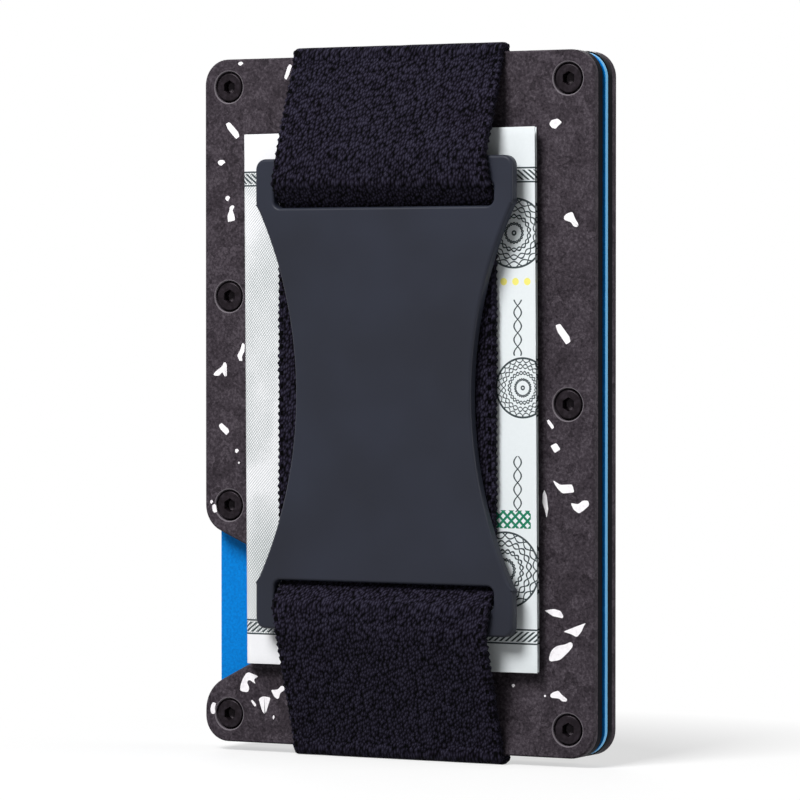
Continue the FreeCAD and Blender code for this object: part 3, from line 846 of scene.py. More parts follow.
    def engraving(self, paint: Shading, x: Output, z: Output, middle: Vector) -> bpy.types.Node:
        """Draw fine ruling that swells and fades, crossed where it is darkest.

        Args:
            paint: The material's tree.
            x: Place across the note.
            z: Place up the note.
            middle: Middle of the notes in the row frame.

        Returns:
            A node that gives 1 on the lines, 2 where they cross and 0 elsewhere.
        """
        swell = paint.add("TexNoise", sockets={
            "Vector": paint.place(middle, (9.0, 9.0, 15.0)), "Scale": 1.0, "Detail": 3.0})
        thin = paint.add("Math", swell, -2.6, 1.62, operation="MULTIPLY_ADD")
        bold = paint.add("Math", swell, -3.4, 2.45, operation="MULTIPLY_ADD")
        return paint.add("Math", self.ruling(paint, x, z, -1.1, self.hatch_mm * 1.48, thin),
                         self.ruling(paint, x, z, 1.5, self.hatch_mm * 1.8, bold),
                         operation="ADD")

    def border(self, paint: Shading, x: Output, height: Output) -> bpy.types.Node:
        """Draw a row of short strokes between two rules, just inside each blank margin.

        Args:
            paint: The material's tree.
            x: Place across the note.
            height: Distance up or down from the middle of the print.

        Returns:
            A node that gives 1 on the lines and 0 elsewhere.
        """
        row = paint.add("Math", height, self.margin_mm - self.frame_mm / 2, self.stroke_mm,
                        operation="COMPARE")
        strokes = self.ruling(paint, x, height, 0.8, self.stroke_mm, 0.1)
        lines = paint.add("Math", row, strokes, operation="MULTIPLY")
        for level in (self.margin_mm, self.margin_mm - self.frame_mm):
            rule = paint.add("Math", height, level, self.line_mm, operation="COMPARE")
            lines = paint.add("Math", lines, rule, operation="MAXIMUM")
        return lines

    def right_motifs(self, paint: Shading, x: Output, z: Output,
                     height: Output) -> list[bpy.types.Node]:
        """Draw the rosettes and a vine of two crossing waves above and below.

        Args:
            paint: The material's tree.
            x: Place across the note.
            z: Place up the note.
            height: Distance up or down from the middle of the print.

        Returns:
            Nodes that give 1 on their lines and 0 elsewhere.
        """
        motifs = [self.rosette(paint, x, z, motif) for motif in self.rosettes]
        phase = paint.add("Math", z, self.vine_turn, operation="MULTIPLY")
        ripple = paint.add("Math", phase, operation="SINE")
        stretch = paint.add("Math", height, self.vine_up, self.vine_half, operation="COMPARE")
        for swing in (self.vine_swing, -self.vine_swing):
            course = paint.add("Math", ripple, swing, self.vine_across,
                               operation="MULTIPLY_ADD")
            line = paint.add("Math", x, course, self.line_mm, operation="COMPARE")
            motifs.append(paint.add("Math", line, stretch, operation="MULTIPLY"))
        return motifs

    def lattice(self, paint: Shading, x: Output, z: Output) -> bpy.types.Node:
        """Draw the small green lattice.

        Args:
            paint: The material's tree.
            x: Place across the note.
            z: Place up the note.

        Returns:
            A node that gives 1 on its lines and 0 elsewhere.
        """
        lines = paint.add("Math", *[self.ruling(paint, x, z, lean, self.lattice_mm, 0.35)
                                    for lean in (1.0, -1.0)], operation="MAXIMUM")
        for axis, middle, half in zip((z, x), reversed(self.lattice_place),
                                      reversed(self.lattice_half)):
            within = paint.add("Math", axis, middle, half, operation="COMPARE")
            lines = paint.add("Math", lines, within, operation="MULTIPLY")
        return lines

    def gold_dots(self, paint: Shading, x: Output, z: Output) -> bpy.types.Node:
        """Draw a row of dots right across the note.

        Args:
            paint: The material's tree.
            x: Place across the note.
            z: Place up the note.

        Returns:
            A node that gives 1 on the dots and 0 elsewhere.
        """
        beside = paint.add("Math", x, self.dot_gap, operation="PINGPONG")
        above = paint.add("Math", z, self.dot_up, operation="SUBTRACT")
        distance = paint.add("VectorMath", paint.add("CombineXYZ", beside, above),
                             operation="LENGTH").outputs["Value"]
        return paint.add("Math", distance, self.dot_radius, operation="LESS_THAN")

    def build(self, name: str, middle: Vector) -> bpy.types.Material:
        """Build the material.

        Args:
            name: The material's name.
            middle: Middle of the notes in the row frame.

        Returns:
            The material.
        """
        paint = Shading.material(name)
        place = paint.place(middle)
        parts = paint.add("SeparateXYZ", place)
        x, z = parts.outputs["X"], parts.outputs["Z"]
        height = paint.add("Math", paint.add("Math", z, self.drop_mm, operation="ADD"),
                           operation="ABSOLUTE")
        printed = paint.add("Math", height, self.margin_mm, operation="LESS_THAN")
        left = paint.add("Math", x, self.left_field_mm, operation="LESS_THAN")
        right = paint.add("Math", x, self.right_field_mm, operation="GREATER_THAN")

        tone = self.engraving(paint, x, z, middle)
        for limit in (left, printed):
            tone = paint.add("Math", tone, limit, operation="MULTIPLY")
        border = self.border(paint, x, height)
        motifs = border
        for motif in self.right_motifs(paint, x, z, height):
            motifs = paint.add("Math", motifs, motif, operation="MAXIMUM")
        on_field = paint.add("Math", right, border, operation="MAXIMUM")
        motifs = paint.add("Math", motifs, on_field, operation="MULTIPLY")
        dots = paint.add("Math", self.gold_dots(paint, x, z), right, operation="MULTIPLY")

        pulp = paint.add("TexNoise", sockets={"Vector": place, "Scale": 2.6, "Detail": 5.0})
        layers = ((paint.add("Math", right, self.tint_share, operation="MULTIPLY"), self.tint),
                  (paint.add("Math", pulp, self.pulp_share, operation="MULTIPLY"),
                   self.pale_ink),
                  (paint.add("Math", tone, self.tone_share, operation="MULTIPLY"),
                   self.pale_ink),
                  (motifs, self.ink), (self.lattice(paint, x, z), self.green),
                  (dots, self.gold))
        colour = linear(self.paper)
        for share, ink in layers:
            colour = paint.add("Mix", share, colour, linear(ink), data_type="RGBA")
        return paint.surface(pulp, 0.02, 0.25, Base_Color=colour, Roughness=0.85,
                             Specular_IOR_Level=0.15)


# ---------------------------------------------------------------- studio

@dataclass
class Lamp:
    """One soft box: its place and size in metres, its power and what it points at."""

    name: str
    place: tuple[float, float, float]
    size: float
    power: float
    target: tuple[float, float, float] = (0.0, 0.0, 0.045)

    def build(self) -> None:
        """Add the lamp and aim it."""
        data = bpy.data.lights.new(self.name, "AREA")
        data.shape = "SQUARE"
        data.size = self.size
        data.energy = self.power
        lamp = bpy.data.objects.new(self.name, data)
        bpy.context.collection.objects.link(lamp)
        lamp.location = self.place
        aim = Vector(self.target) - Vector(self.place)
        lamp.rotation_euler = aim.to_track_quat("-Z", "Y").to_euler()


@dataclass
class Studio:
    """White sweep, soft lamps and the camera.

    Attributes:
        azimuth: Degrees that the camera stands round to the right.
        elevation: Degrees that it stands above its target.
        distance: From the target, in metres.
        aim: Target as x, depth behind the front plate's face, and height.
        lens: Focal length in millimetres on a sensor of sensor_width.
        floor_size: Side of the square floor.
        floor_colour: Of the paper, where the wallet's shadow falls on it.
        floor_lift: Light that the paper gives off near the wallet.
        shadow_reach: Distances from the middle where the paper starts to be plain white and
            where it is.
        world_level: Strength of the even light all round.
        lamps: The soft boxes.
    """

    azimuth: float = 28.154
    elevation: float = 1.114
    distance: float = 0.56293
    aim: tuple[float, float, float] = (0.54 * MM, 0.29 * MM, 44.46 * MM)
    lens: float = 204.93
    sensor_width: float = 36.0
    floor_size: float = 6.0
    floor_colour: str = "#a6a6a6"
    floor_lift: float = 0.57
    shadow_reach: tuple[float, float] = (0.034, 0.075)
    world_level: float = 0.12
    lamps: tuple[Lamp, ...] = (
        Lamp("key_soft_box", (-0.09, -0.45, 0.50), 0.27, 5.2),
        Lamp("side_soft_box", (0.60, 0.12, 0.20), 0.40, 1.8),
        Lamp("back_soft_box", (-0.42, 0.62, 0.28), 0.40, 2.4),
    )

    def floor_finish(self) -> bpy.types.Material:
        """Build white seamless paper that holds the shadow and is plain white beyond.

        Returns:
            The material.
        """
        paint = Shading.material("seamless_paper")
        seen = paint.backdrop_rays()
        away = paint.add("VectorMath", paint.add("TexCoord").outputs["Object"],
                         operation="LENGTH").outputs["Value"]
        plain = paint.add("MapRange", away, *self.shadow_reach, 0.0, 1.0)
        glow = paint.add("Math", seen, self.floor_lift, operation="MULTIPLY")
        lift = paint.add("Emission", sockets={"Strength": glow})
        paper = paint.add("BsdfDiffuse", sockets={"Color": linear(self.floor_colour)})
        near = paint.add("AddShader", paper, lift)
        white = paint.add("Emission", sockets={"Strength": 1.0})
        share = paint.add("Math", plain, seen, operation="MULTIPLY")
        paint.add("OutputMaterial", paint.add("MixShader", share, near, white))
        return paint.owner

    def build_world(self) -> None:
        """Even soft light all round, and plain white where the camera sees past the floor."""
        world = bpy.data.worlds.new("studio")
        bpy.context.scene.world = world
        paint = Shading(world)
        level = paint.add("Math", paint.backdrop_rays(), 1.0 - self.world_level, self.world_level,
                          operation="MULTIPLY_ADD")
        light = paint.add("Background", sockets={"Color": (1.0, 1.0, 1.0, 1.0),
                                                 "Strength": level})
        paint.add("OutputWorld", light)

    def build_floor(self) -> None:
        """Add the floor that the wallet stands on."""
        floor = add_solid(bpy.ops.mesh.primitive_plane_add, size=self.floor_size,
                          location=(0, 0, CAD_BOX[0][2]))
        fix_place(floor)
        rename(floor, "studio_floor")
        floor.data.materials.append(self.floor_finish())

    def build_camera(self) -> None:
        """Add the camera at its angle round the wallet."""
        data = bpy.data.cameras.new("camera")
        data.lens = self.lens
        data.sensor_width = self.sensor_width
        data.clip_start, data.clip_end = 0.01, 20.0
        camera = bpy.data.objects.new("camera", data)
        bpy.context.collection.objects.link(camera)
        turn, lift = math.radians(self.azimuth), math.radians(self.elevation)
        back = Vector((math.sin(turn) * math.cos(lift), -math.cos(turn) * math.cos(lift),
                       math.sin(lift)))
        face = node_box("front_outer_plate")[0].y
        camera.location = Vector(self.aim) + Vector((0, face, 0)) + back * self.distance
        camera.rotation_euler = (-back).to_track_quat("-Z", "Y").to_euler()
        bpy.context.scene.camera = camera

    def build(self) -> None:
        """Build the studio."""
        self.build_world()
        self.build_floor()
        for lamp in self.lamps:
            lamp.build()
        self.build_camera()
        bpy.context.scene.view_settings.view_transform = "Standard"


# ---------------------------------------------------------------- ribbons

class WidthAxis(Enum):
    """Row axis that a ribbon's width lies along."""

    X = "x"
    Z = "z"


@dataclass
class RoutePoint:
    """One point of a route: its place and normal in the route's plane, and its run so far."""

    place: Vector
    normal: Vector
    run: float


def rounded_corner(before: Vector, here: Vector, after: Vector, radius: float,
                   arc_step: float = 0.06) -> list[Vector]:
    """Round one corner of a route.

    Args:
        before: The corner before it.
        here: The corner.
        after: The corner after it.
        radius: Centreline radius, 0 for a sharp corner.
        arc_step: Largest turn in radians from point to point.

    Returns:
        The points of its arc, or the corner alone where nothing is to be rounded.
    """
    back, ahead = before - here, after - here
    turn = math.pi - back.angle(ahead)
    if radius <= 0 or turn < 1e-4:
        return [here]
    reach = radius * math.tan(turn / 2)
    start, end = here + back.normalized() * reach, here + ahead.normalized() * reach
    middle = (back.normalized() + ahead.normalized()).normalized()
    centre = here + middle * (radius / math.cos(turn / 2))
    first, last = start - centre, end - centre
    steps = max(8, int(turn / arc_step))
    points: list[Vector] = []
    for k in range(steps + 1):
        share = k / steps
        blend = first * math.sin((1 - share) * turn) + last * math.sin(share * turn)
        points.append(centre + blend / math.sin(turn))
    return points


def rounded_route(corners: Sequence[tuple[float, float]], radii: Sequence[float], step: float,
                  closed: bool) -> list[RoutePoint]:
    """Walk a route of straight runs joined by arcs in even steps.

    Args:
        corners: Corner points in the route's plane.
        radii: Centreline radius at each corner, 0 at open ends.
        step: Distance from point to point.
        closed: Whether the last corner joins the first.

    Returns:
        The points, evenly spaced.
    """
    places = [Vector(corner) for corner in corners]
    count = len(places)
    dense: list[Vector] = []
    for i, (here, radius) in enumerate(zip(places, radii)):
        is_end = not closed and i in (0, count - 1)
        dense += [here] if is_end else rounded_corner(places[i - 1], here,
                                                      places[(i + 1) % count], radius)
    if closed:
        dense.append(dense[0].copy())
    runs = [0.0]
    for a, b in zip(dense, dense[1:]):
        runs.append(runs[-1] + (b - a).length)
    number = max(2, round(runs[-1] / step))
    points: list[RoutePoint] = []
    k = 0
    for i in range(number + (0 if closed else 1)):
        run = runs[-1] * i / number
        while k < len(runs) - 2 and runs[k + 1] < run:
            k += 1
        share = (run - runs[k]) / max(runs[k + 1] - runs[k], 1e-12)
        along = (dense[k + 1] - dense[k]).normalized()
        points.append(RoutePoint(dense[k].lerp(dense[k + 1], share),
                                 Vector((-along.y, along.x)), run))
    return points


@dataclass
class Ribbon:
    """A soft band that follows a route in one plane, with rounded and picoted edges.

    Attributes:
        name: The object's name.
        route: Its points, in metres.
        start: Low edge along the width axis.
        width: Across the ribbon.
        thickness: Takes a route point and gives the thickness there.
        axis: Row axis of the width.
        columns: Cells across the width.
        edge_round: How far in from each edge the ribbon thins.
        picot: How far the edge loops stand out, 0 for a cut edge.
        picot_pitch: From loop to loop.
        relief: Height of the uneven surface.
        spread: Takes a route point and gives how much further each edge reaches, low first.
    """

    UV_NAME = "cloth_run"
    ROW_LAYER = "row"
    SIDE_LAYER = "side"

    name: str
    route: list[RoutePoint]
    start: float
    width: float
    thickness: Callable[[RoutePoint], float]
    axis: WidthAxis = WidthAxis.X
    columns: int = 14
    edge_round: float = 0.35 * MM
    picot: float = 0.0
    picot_pitch: float = 0.9 * MM
    relief: float = 0.0
    spread: Callable[[RoutePoint], tuple[float, float]] = lambda point: (0.0, 0.0)

    def column_places(self) -> list[tuple[float, float]]:
        """Work out the columns, which stand closer along the rounded edges.

        Returns:
            Place across the width and share of the full thickness, column by column.
        """
        rim = [(0.0, 0.42), (0.22, 0.74), (0.6, 0.94), (1.0, 1.0)]
        inner = self.width - 2 * self.edge_round
        low = [(share * self.edge_round, full) for share, full in rim]
        middle = [(self.edge_round + inner * k / self.columns, 1.0) for k in range(1, self.columns)]
        return low + middle + [(self.width - place, full) for place, full in reversed(low)]

    def row_place(self, flat: Vector, across: float) -> Vector:
        """Find a point in the row frame.

        Args:
            flat: Its place in the route's plane.
            across: Its place along the width axis.

        Returns:
            The point.
        """
        if self.axis is WidthAxis.X:
            return Vector((across, flat.x, flat.y))
        return Vector((flat.x, flat.y, across))

    def edge_offset(self, run: float) -> float:
        """Work out how far the edge's loops stand out, a little unevenly.

        Args:
            run: Distance along the route.

        Returns:
            The distance outwards.
        """
        phase = math.tau * run / self.picot_pitch
        wobble = noise.noise(Vector((run / (3 * self.picot_pitch), 0.3, 0.7)))
        return self.picot * (0.5 * math.cos(phase) + 0.35 * wobble)

    def lay_strip(self, columns: int) -> bpy.types.Object:
        """Lay a flat strip and extrude it from column to column.

        Args:
            columns: How many columns it gets.

        Returns:
            The strip, with each vertex at its row, side and column number as coordinates.
        """
        rows = len(self.route)
        piece = add_solid(bpy.ops.mesh.primitive_grid_add, x_subdivisions=rows - 1,
                          y_subdivisions=1, size=1.0)
        rename(piece, self.name)
        with editing(piece):
            mesh = bmesh.from_edit_mesh(piece.data)
            row_layer = mesh.verts.layers.int.new(self.ROW_LAYER)
            side_layer = mesh.verts.layers.int.new(self.SIDE_LAYER)
            for vertex in mesh.verts:
                vertex[row_layer] = round((vertex.co.x + 0.5) * (rows - 1))
                vertex[side_layer] = 1 if vertex.co.y > 0 else -1
                vertex.co = (vertex[row_layer], vertex[side_layer], 0)
            bmesh.update_edit_mesh(piece.data)
            bpy.ops.mesh.select_all(action="SELECT")
            for _ in range(columns - 1):
                bpy.ops.mesh.extrude_region_move(TRANSFORM_OT_translate={"value": (0, 0, 1)})
        return piece

    def write_run(self, mesh: bmesh.types.BMesh, places: list[tuple[float, float]],
                  halves: list[float]) -> None:
        """Write the cloth's own coordinates: across its width and along its run, in metres.

        Args:
            mesh: The flat strip in edit mode.
            places: Place and share of thickness of each column.
            halves: Half the thickness at each row.
        """
        row_layer = mesh.verts.layers.int[self.ROW_LAYER]
        side_layer = mesh.verts.layers.int[self.SIDE_LAYER]
        uv_layer = mesh.loops.layers.uv.new(self.UV_NAME)
        for face in mesh.faces:
            for loop in face.loops:
                column, row = round(loop.vert.co.z), loop.vert[row_layer]
                at_edge = column in (0, len(places) - 1)
                side = halves[row] * loop.vert[side_layer] if at_edge else 0.0
                loop[uv_layer].uv = (places[column][0] + side, self.route[row].run)

    def bend(self, mesh: bmesh.types.BMesh, places: list[tuple[float, float]],
             halves: list[float]) -> None:
        """Move the flat strip's vertices to their places along the route.

        Args:
            mesh: The flat strip in edit mode.
            places: Place and share of thickness of each column.
            halves: Half the thickness at each row.
        """
        row_layer = mesh.verts.layers.int[self.ROW_LAYER]
        side_layer = mesh.verts.layers.int[self.SIDE_LAYER]
        spreads = [self.spread(point) for point in self.route]
        for vertex in mesh.verts:
            column, row, side = round(vertex.co.z), vertex[row_layer], vertex[side_layer]
            point = self.route[row]
            across, full = places[column]
            if column in (0, 1):
                across -= self.edge_offset(point.run)
            elif column in (len(places) - 2, len(places) - 1):
                across += self.edge_offset(point.run + self.picot_pitch / 2)
            share = across / self.width
            low_reach, high_reach = spreads[row]
            across += high_reach * share - low_reach * (1 - share)
            bumpy = self.relief * noise.noise(Vector((across, point.run, 0)) / (1.1 * MM))
            half = side * (halves[row] * full + bumpy)
            vertex.co = self.row_place(point.place + point.normal * half, self.start + across)

    def build(self) -> bpy.types.Object:
        """Model the ribbon: a strip along its section, extruded across its width.

        Returns:
            The ribbon.
        """
        places = self.column_places()
        halves = [0.5 * self.thickness(point) for point in self.route]
        piece = self.lay_strip(len(places))
        with editing(piece):
            mesh = bmesh.from_edit_mesh(piece.data)
            self.write_run(mesh, places, halves)
            self.bend(mesh, places, halves)
            bmesh.update_edit_mesh(piece.data)
        settle(piece, 60.0)
        return piece


# ---------------------------------------------------------------- halves

class FlakeShape(Enum):
    """Outlines of pressed flakes in a box one unit wide and one high."""

    CHIP = ((-0.5, 0.1), (-0.3, 0.45), (0.2, 0.5), (0.5, 0.05), (0.2, -0.2), (-0.05, -0.5),
            (-0.35, -0.3))
    BAR = ((-0.5, -0.25), (-0.42, 0.4), (0.3, 0.5), (0.5, 0.25), (0.48, -0.45), (-0.2, -0.5))
    BLOCK = ((-0.5, 0.3), (0.15, 0.5), (0.5, -0.2), (-0.15, -0.5))
    DROP = ((-0.45, -0.5), (-0.5, -0.1), (-0.25, 0.15), (-0.2, 0.4), (0.2, 0.5), (0.45, 0.4),
            (0.15, 0.2), (0.4, -0.1), (0.5, -0.4))
    BEND = ((0.2, 0.5), (0.5, 0.4), (0.45, 0.0), (0.1, -0.25), (0.2, -0.5), (-0.2, -0.5),
            (-0.5, -0.2), (-0.1, 0.1))
    FORK = ((0.3, 0.5), (0.5, 0.35), (0.5, -0.5), (0.3, -0.45), (0.2, -0.15), (-0.05, -0.45),
            (-0.5, -0.4), (-0.3, -0.15), (0.2, 0.2))
    BARB = ((-0.1, 0.5), (0.5, 0.3), (0.2, 0.15), (0.35, -0.1), (-0.05, 0.15), (-0.15, -0.05),
            (0.0, -0.2), (-0.05, -0.5), (-0.5, -0.45), (-0.45, -0.1), (-0.3, 0.25))
    TWIN = ((0.45, 0.45), (0.5, 0.15), (0.2, 0.0), (0.05, -0.5), (-0.25, -0.35), (-0.5, 0.15),
            (-0.15, 0.15), (0.1, 0.25), (0.2, 0.45))
    SHARD = ((-0.5, 0.35), (-0.15, 0.5), (0.5, 0.45), (0.1, -0.45), (-0.05, -0.5), (-0.2, -0.35))
    LEAF = ((-0.5, 0.3), (0.0, 0.5), (0.35, 0.3), (0.5, -0.3), (0.45, -0.5), (-0.05, -0.3))
    SPEAR = ((0.5, 0.5), (0.1, 0.25), (-0.5, -0.15), (-0.15, -0.3), (0.1, -0.5), (0.3, -0.1),
             (0.4, 0.3))
    BLADE = ((0.4, 0.5), (0.5, 0.3), (0.3, 0.0), (-0.05, -0.4), (-0.5, -0.5), (-0.5, -0.25),
             (-0.4, 0.05), (-0.2, 0.25), (0.2, 0.35))
    HUMP = ((-0.45, 0.05), (-0.3, 0.3), (0.0, 0.5), (0.2, 0.1), (0.5, -0.3), (0.45, -0.5),
            (0.2, -0.5), (0.05, -0.25), (-0.4, -0.2))
    MOON = ((-0.5, -0.2), (-0.4, 0.25), (-0.05, 0.5), (0.5, 0.45), (0.3, 0.0), (0.4, -0.35),
            (0.1, -0.5), (-0.3, -0.45))
    TAIL = ((-0.5, 0.5), (-0.15, 0.15), (0.4, 0.2), (0.5, -0.4), (-0.05, -0.5), (-0.25, -0.2),
            (-0.4, 0.15))
    HOOK = ((-0.5, 0.3), (-0.1, 0.2), (0.15, 0.5), (0.45, 0.5), (0.5, 0.15), (0.2, -0.25),
            (-0.05, -0.5), (-0.35, -0.2))


@dataclass(frozen=True)
class Flake:
    """One flake: its middle on the plate, width, height in millimetres and turn in degrees."""

    shape: FlakeShape
    across: float
    up: float
    width: float
    height: float
    turn: float = 0.0


@dataclass
class WalletHalf:
    """Outer plate, inner plate, their screws and the flakes pressed in the outer face.

    Attributes:
        name: "front" or "rear", as in the names of its CAD nodes.
        front: Whether its outer face looks towards -Y.
        flakes: Flakes in the outer face.
        plate_edge: How far the plates' edges are broken.
        seat_edge: The same for the rims of the screw seats.
        seat_reach: Radius round a screw that holds its seat's rim.
        flake_proud: How far a flake stands out of the face.
        flake_depth: How thick a flake is.
        screws: How many screws hold the half.
        head_edge: Rounding of the screw head.
        socket_flats: Across the flats of the hex socket.
        socket_edge: Rounding of the socket's mouth.
    """

    RIM_LAYER = "seat_rim"

    name: str
    front: bool
    flakes: list[Flake] = field(default_factory=list)
    plate_edge: float = 0.1 * MM
    seat_edge: float = 0.16 * MM
    seat_reach: float = 2.1 * MM
    flake_proud: float = 0.012 * MM
    flake_depth: float = 0.15 * MM
    screws: int = 7
    head_diameter: float = 3.55 * MM
    head_height: float = 0.75 * MM
    head_edge: float = 0.2 * MM
    shank_diameter: float = 2.0 * MM
    socket_flats: float = 1.5 * MM
    socket_depth: float = 1.1 * MM
    socket_edge: float = 0.05 * MM

    @property
    def body(self) -> str:
        """CAD body that this half is."""
        return self.name + "_half"

    def outer_y(self, node: str) -> float:
        """Place of a node's outer face along Y."""
        low, high = node_box(node)
        return low.y if self.front else high.y

    def screw_nodes(self) -> list[str]:
        """CAD nodes of this half's screws."""
        return ["%s_screw_%d" % (self.name, number) for number in range(1, self.screws + 1)]

    def plate(self, node: str, seated: bool, sharpness: float = 30.0) -> bpy.types.Object:
        """Copy a plate's CAD mesh and break its sharp edges, as tumbling does.

        Args:
            node: The plate's CAD node.
            seated: Whether the screws' heads are seated in it: those rims are broken wider
            and marked for the finish's painted highlight.
            sharpness: Edges above this angle in degrees are broken.

        Returns:
            The new plate.
        """
        piece = copy_of(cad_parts[node], node + "_body")
        face_y = self.outer_y(node)
        screws = [sum(node_box(screw), Vector()) / 2 for screw in self.screw_nodes()]
        limit = math.radians(sharpness)

        def is_rim(edge: bmesh.types.BMEdge) -> bool:
            """Tell whether an edge runs round a screw seat in the outer face.

            Args:
                edge: The edge.

            Returns:
                Whether it does.
            """
            return seated and all(abs(vertex.co.y - face_y) < 10 * NEAR and any(
                math.hypot(vertex.co.x - screw.x, vertex.co.z - screw.z) < self.seat_reach
                for screw in screws) for vertex in edge.verts)

        def is_sharp(edge: bmesh.types.BMEdge) -> bool:
            """Tell whether an edge is to be broken."""
            return edge.is_manifold and edge.calc_face_angle(0.0) > limit

        with editing(piece):
            bpy.ops.mesh.select_all(action="SELECT")
            bpy.ops.mesh.remove_doubles(threshold=WELD)
            bpy.ops.mesh.dissolve_limited(angle_limit=math.radians(0.5))
            bmesh.from_edit_mesh(piece.data).faces.layers.float.new(self.RIM_LAYER)
            pick(piece, Element.EDGE, lambda edge: is_sharp(edge) and not is_rim(edge))
            bpy.ops.mesh.bevel(offset=self.plate_edge, segments=2, profile=0.5,
                               affect="EDGES", clamp_overlap=True)
            if pick(piece, Element.EDGE, lambda edge: is_sharp(edge) and is_rim(edge)):
                bpy.ops.mesh.bevel(offset=self.seat_edge, segments=2, profile=0.5,
                                   affect="EDGES", clamp_overlap=True)
                mesh = bmesh.from_edit_mesh(piece.data)
                layer = mesh.faces.layers.float[self.RIM_LAYER]
                broken = [face for face in mesh.faces if face.select]
                log.info("%d faces round the seats of %s", len(broken), node)
                for face in broken:
                    face[layer] = 1.0
                bmesh.update_edit_mesh(piece.data)
        settle(piece)
        return piece

    def build_flakes(self, material: bpy.types.Material) -> None:
        """Lay the flakes in the outer face and draw each a little way into the plate.

        Args:
            material: The flakes' finish.
        """
        plate = self.name + "_outer_plate"
        middle = sum(node_box(plate), Vector()) / 2
        facing = -1.0 if self.front else 1.0
        face_y = self.outer_y(plate) + facing * self.flake_proud
        piece = add_solid(bpy.ops.mesh.primitive_circle_add, vertices=3, radius=MM)
        rename(piece, self.name + "_flakes")
        with editing(piece):
            bpy.ops.mesh.select_all(action="SELECT")
            bpy.ops.mesh.delete(type="VERT")
            for flake in self.flakes:
                bpy.ops.mesh.select_all(action="DESELECT")
                outline = flake.shape.value
                bpy.ops.mesh.primitive_circle_add(vertices=len(outline), radius=MM,
                                                  fill_type="NGON")
                mesh = bmesh.from_edit_mesh(piece.data)
                turn = math.radians(flake.turn)
                fresh = sorted((v for v in mesh.verts if v.select),
                               key=lambda v: math.atan2(v.co.y, v.co.x))
                for vertex, (along, side) in zip(fresh, outline):
                    x, z = along * flake.width, side * flake.height
                    across = flake.across + x * math.cos(turn) - z * math.sin(turn)
                    up = flake.up + x * math.sin(turn) + z * math.cos(turn)
                    vertex.co = (middle.x + across * MM, face_y, middle.z + up * MM)
                bmesh.update_edit_mesh(piece.data)
                bpy.ops.mesh.bevel(offset=0.12 * min(flake.width, flake.height) * MM,
                                   segments=2, affect="VERTICES")
                bpy.ops.mesh.select_mode(type="FACE")
                bpy.ops.mesh.extrude_region_move(TRANSFORM_OT_translate={
                    "value": (0, -facing * self.flake_depth, 0)})
                bpy.ops.mesh.select_mode(type="VERT")
        settle(piece)
        dress(piece, material, self.body, "forged_carbon")

    def cut_socket(self, screw: bpy.types.Object) -> None:
        """Cut the hex socket with its drilled bottom into the screw's head.

        Args:
            screw: The screw at the origin, head towards -Y.
        """
        corner_radius = self.socket_flats / math.sqrt(3)
        socket = add_solid(bpy.ops.mesh.primitive_cylinder_add, vertices=6, radius=corner_radius,
                           depth=2 * self.socket_depth, rotation=(math.pi / 2, 0, 0))
        drill = add_solid(bpy.ops.mesh.primitive_cone_add, vertices=32,
                          radius1=self.socket_flats * 0.5, radius2=0.0,
                          depth=self.socket_flats * 0.3,
                          location=(0, self.socket_depth + self.socket_flats * 0.149, 0),
                          rotation=(-math.pi / 2, 0, 0))
        cut(screw, [socket, drill])
        with editing(screw):
            pick(screw, Element.EDGE, lambda edge: all(
                abs(v.co.y) < NEAR and v.co.length < corner_radius * 1.05 for v in edge.verts))
            bpy.ops.mesh.bevel(offset=self.socket_edge, segments=2, affect="EDGES")

    def model_screw(self) -> bpy.types.Object:
        """Model one screw at the origin, head towards -Y.

        Returns:
            The screw.
        """
        screw = add_solid(bpy.ops.mesh.primitive_cylinder_add, vertices=64,
                          radius=self.head_diameter / 2, depth=self.head_height,
                          location=(0, self.head_height / 2, 0), rotation=(math.pi / 2, 0, 0))
        fix_place(screw)
        rename(screw, "screw_pattern")
        node_low, node_high = node_box("front_screw_1")
        length = node_high.y - node_low.y
        with editing(screw):
            pick(screw, Element.FACE, lambda face: face.normal.y > 0.9)
            bpy.ops.mesh.inset(thickness=(self.head_diameter - self.shank_diameter) / 2, depth=0)
            bpy.ops.mesh.extrude_region_move(TRANSFORM_OT_translate={
                "value": (0, length - self.head_height, 0)})
            pick(screw, Element.EDGE, lambda edge: all(v.co.y < NEAR for v in edge.verts))
            bpy.ops.mesh.bevel(offset=self.head_edge, segments=4, profile=0.5, affect="EDGES")
            pick(screw, Element.EDGE, lambda edge: all(
                v.co.y > length - NEAR for v in edge.verts))
            bpy.ops.mesh.bevel(offset=self.head_edge, segments=1, affect="EDGES")
        self.cut_socket(screw)
        settle(screw, 30.0)
        return screw

    def build_screws(self, material: bpy.types.Material) -> None:
        """Put a copy of the screw in each seat.

        Args:
            material: The screws' finish.
        """
        pattern = self.model_screw()
        for node in self.screw_nodes():
            low, high = node_box(node)
            screw = copy_of(pattern, node + "_body")
            screw.location = ((low.x + high.x) / 2, self.outer_y(node), (low.z + high.z) / 2)
            if not self.front:
                screw.rotation_euler = (0, 0, math.pi)
            fix_place(screw)
            dress(screw, material, self.body, "black_screw_steel", node)
        bpy.data.objects.remove(pattern, do_unlink=True)

    def build(self, carbon: bpy.types.Material, flake: bpy.types.Material,
              anodised: bpy.types.Material, steel: bpy.types.Material) -> None:
        """Build the half.

        Args:
            carbon: Finish of the outer plate.
            flake: Finish of its flakes.
            anodised: Finish of the inner plate.
            steel: Finish of the screws.
        """
        outer, inner = self.name + "_outer_plate", self.name + "_inner_plate"
        dress(self.plate(outer, True), carbon, self.body, "forged_carbon", outer)
        dress(self.plate(inner, False), anodised, self.body, "black_anodised", inner)
        self.build_flakes(flake)
        self.build_screws(steel)


# ---------------------------------------------------------------- strap and elastic

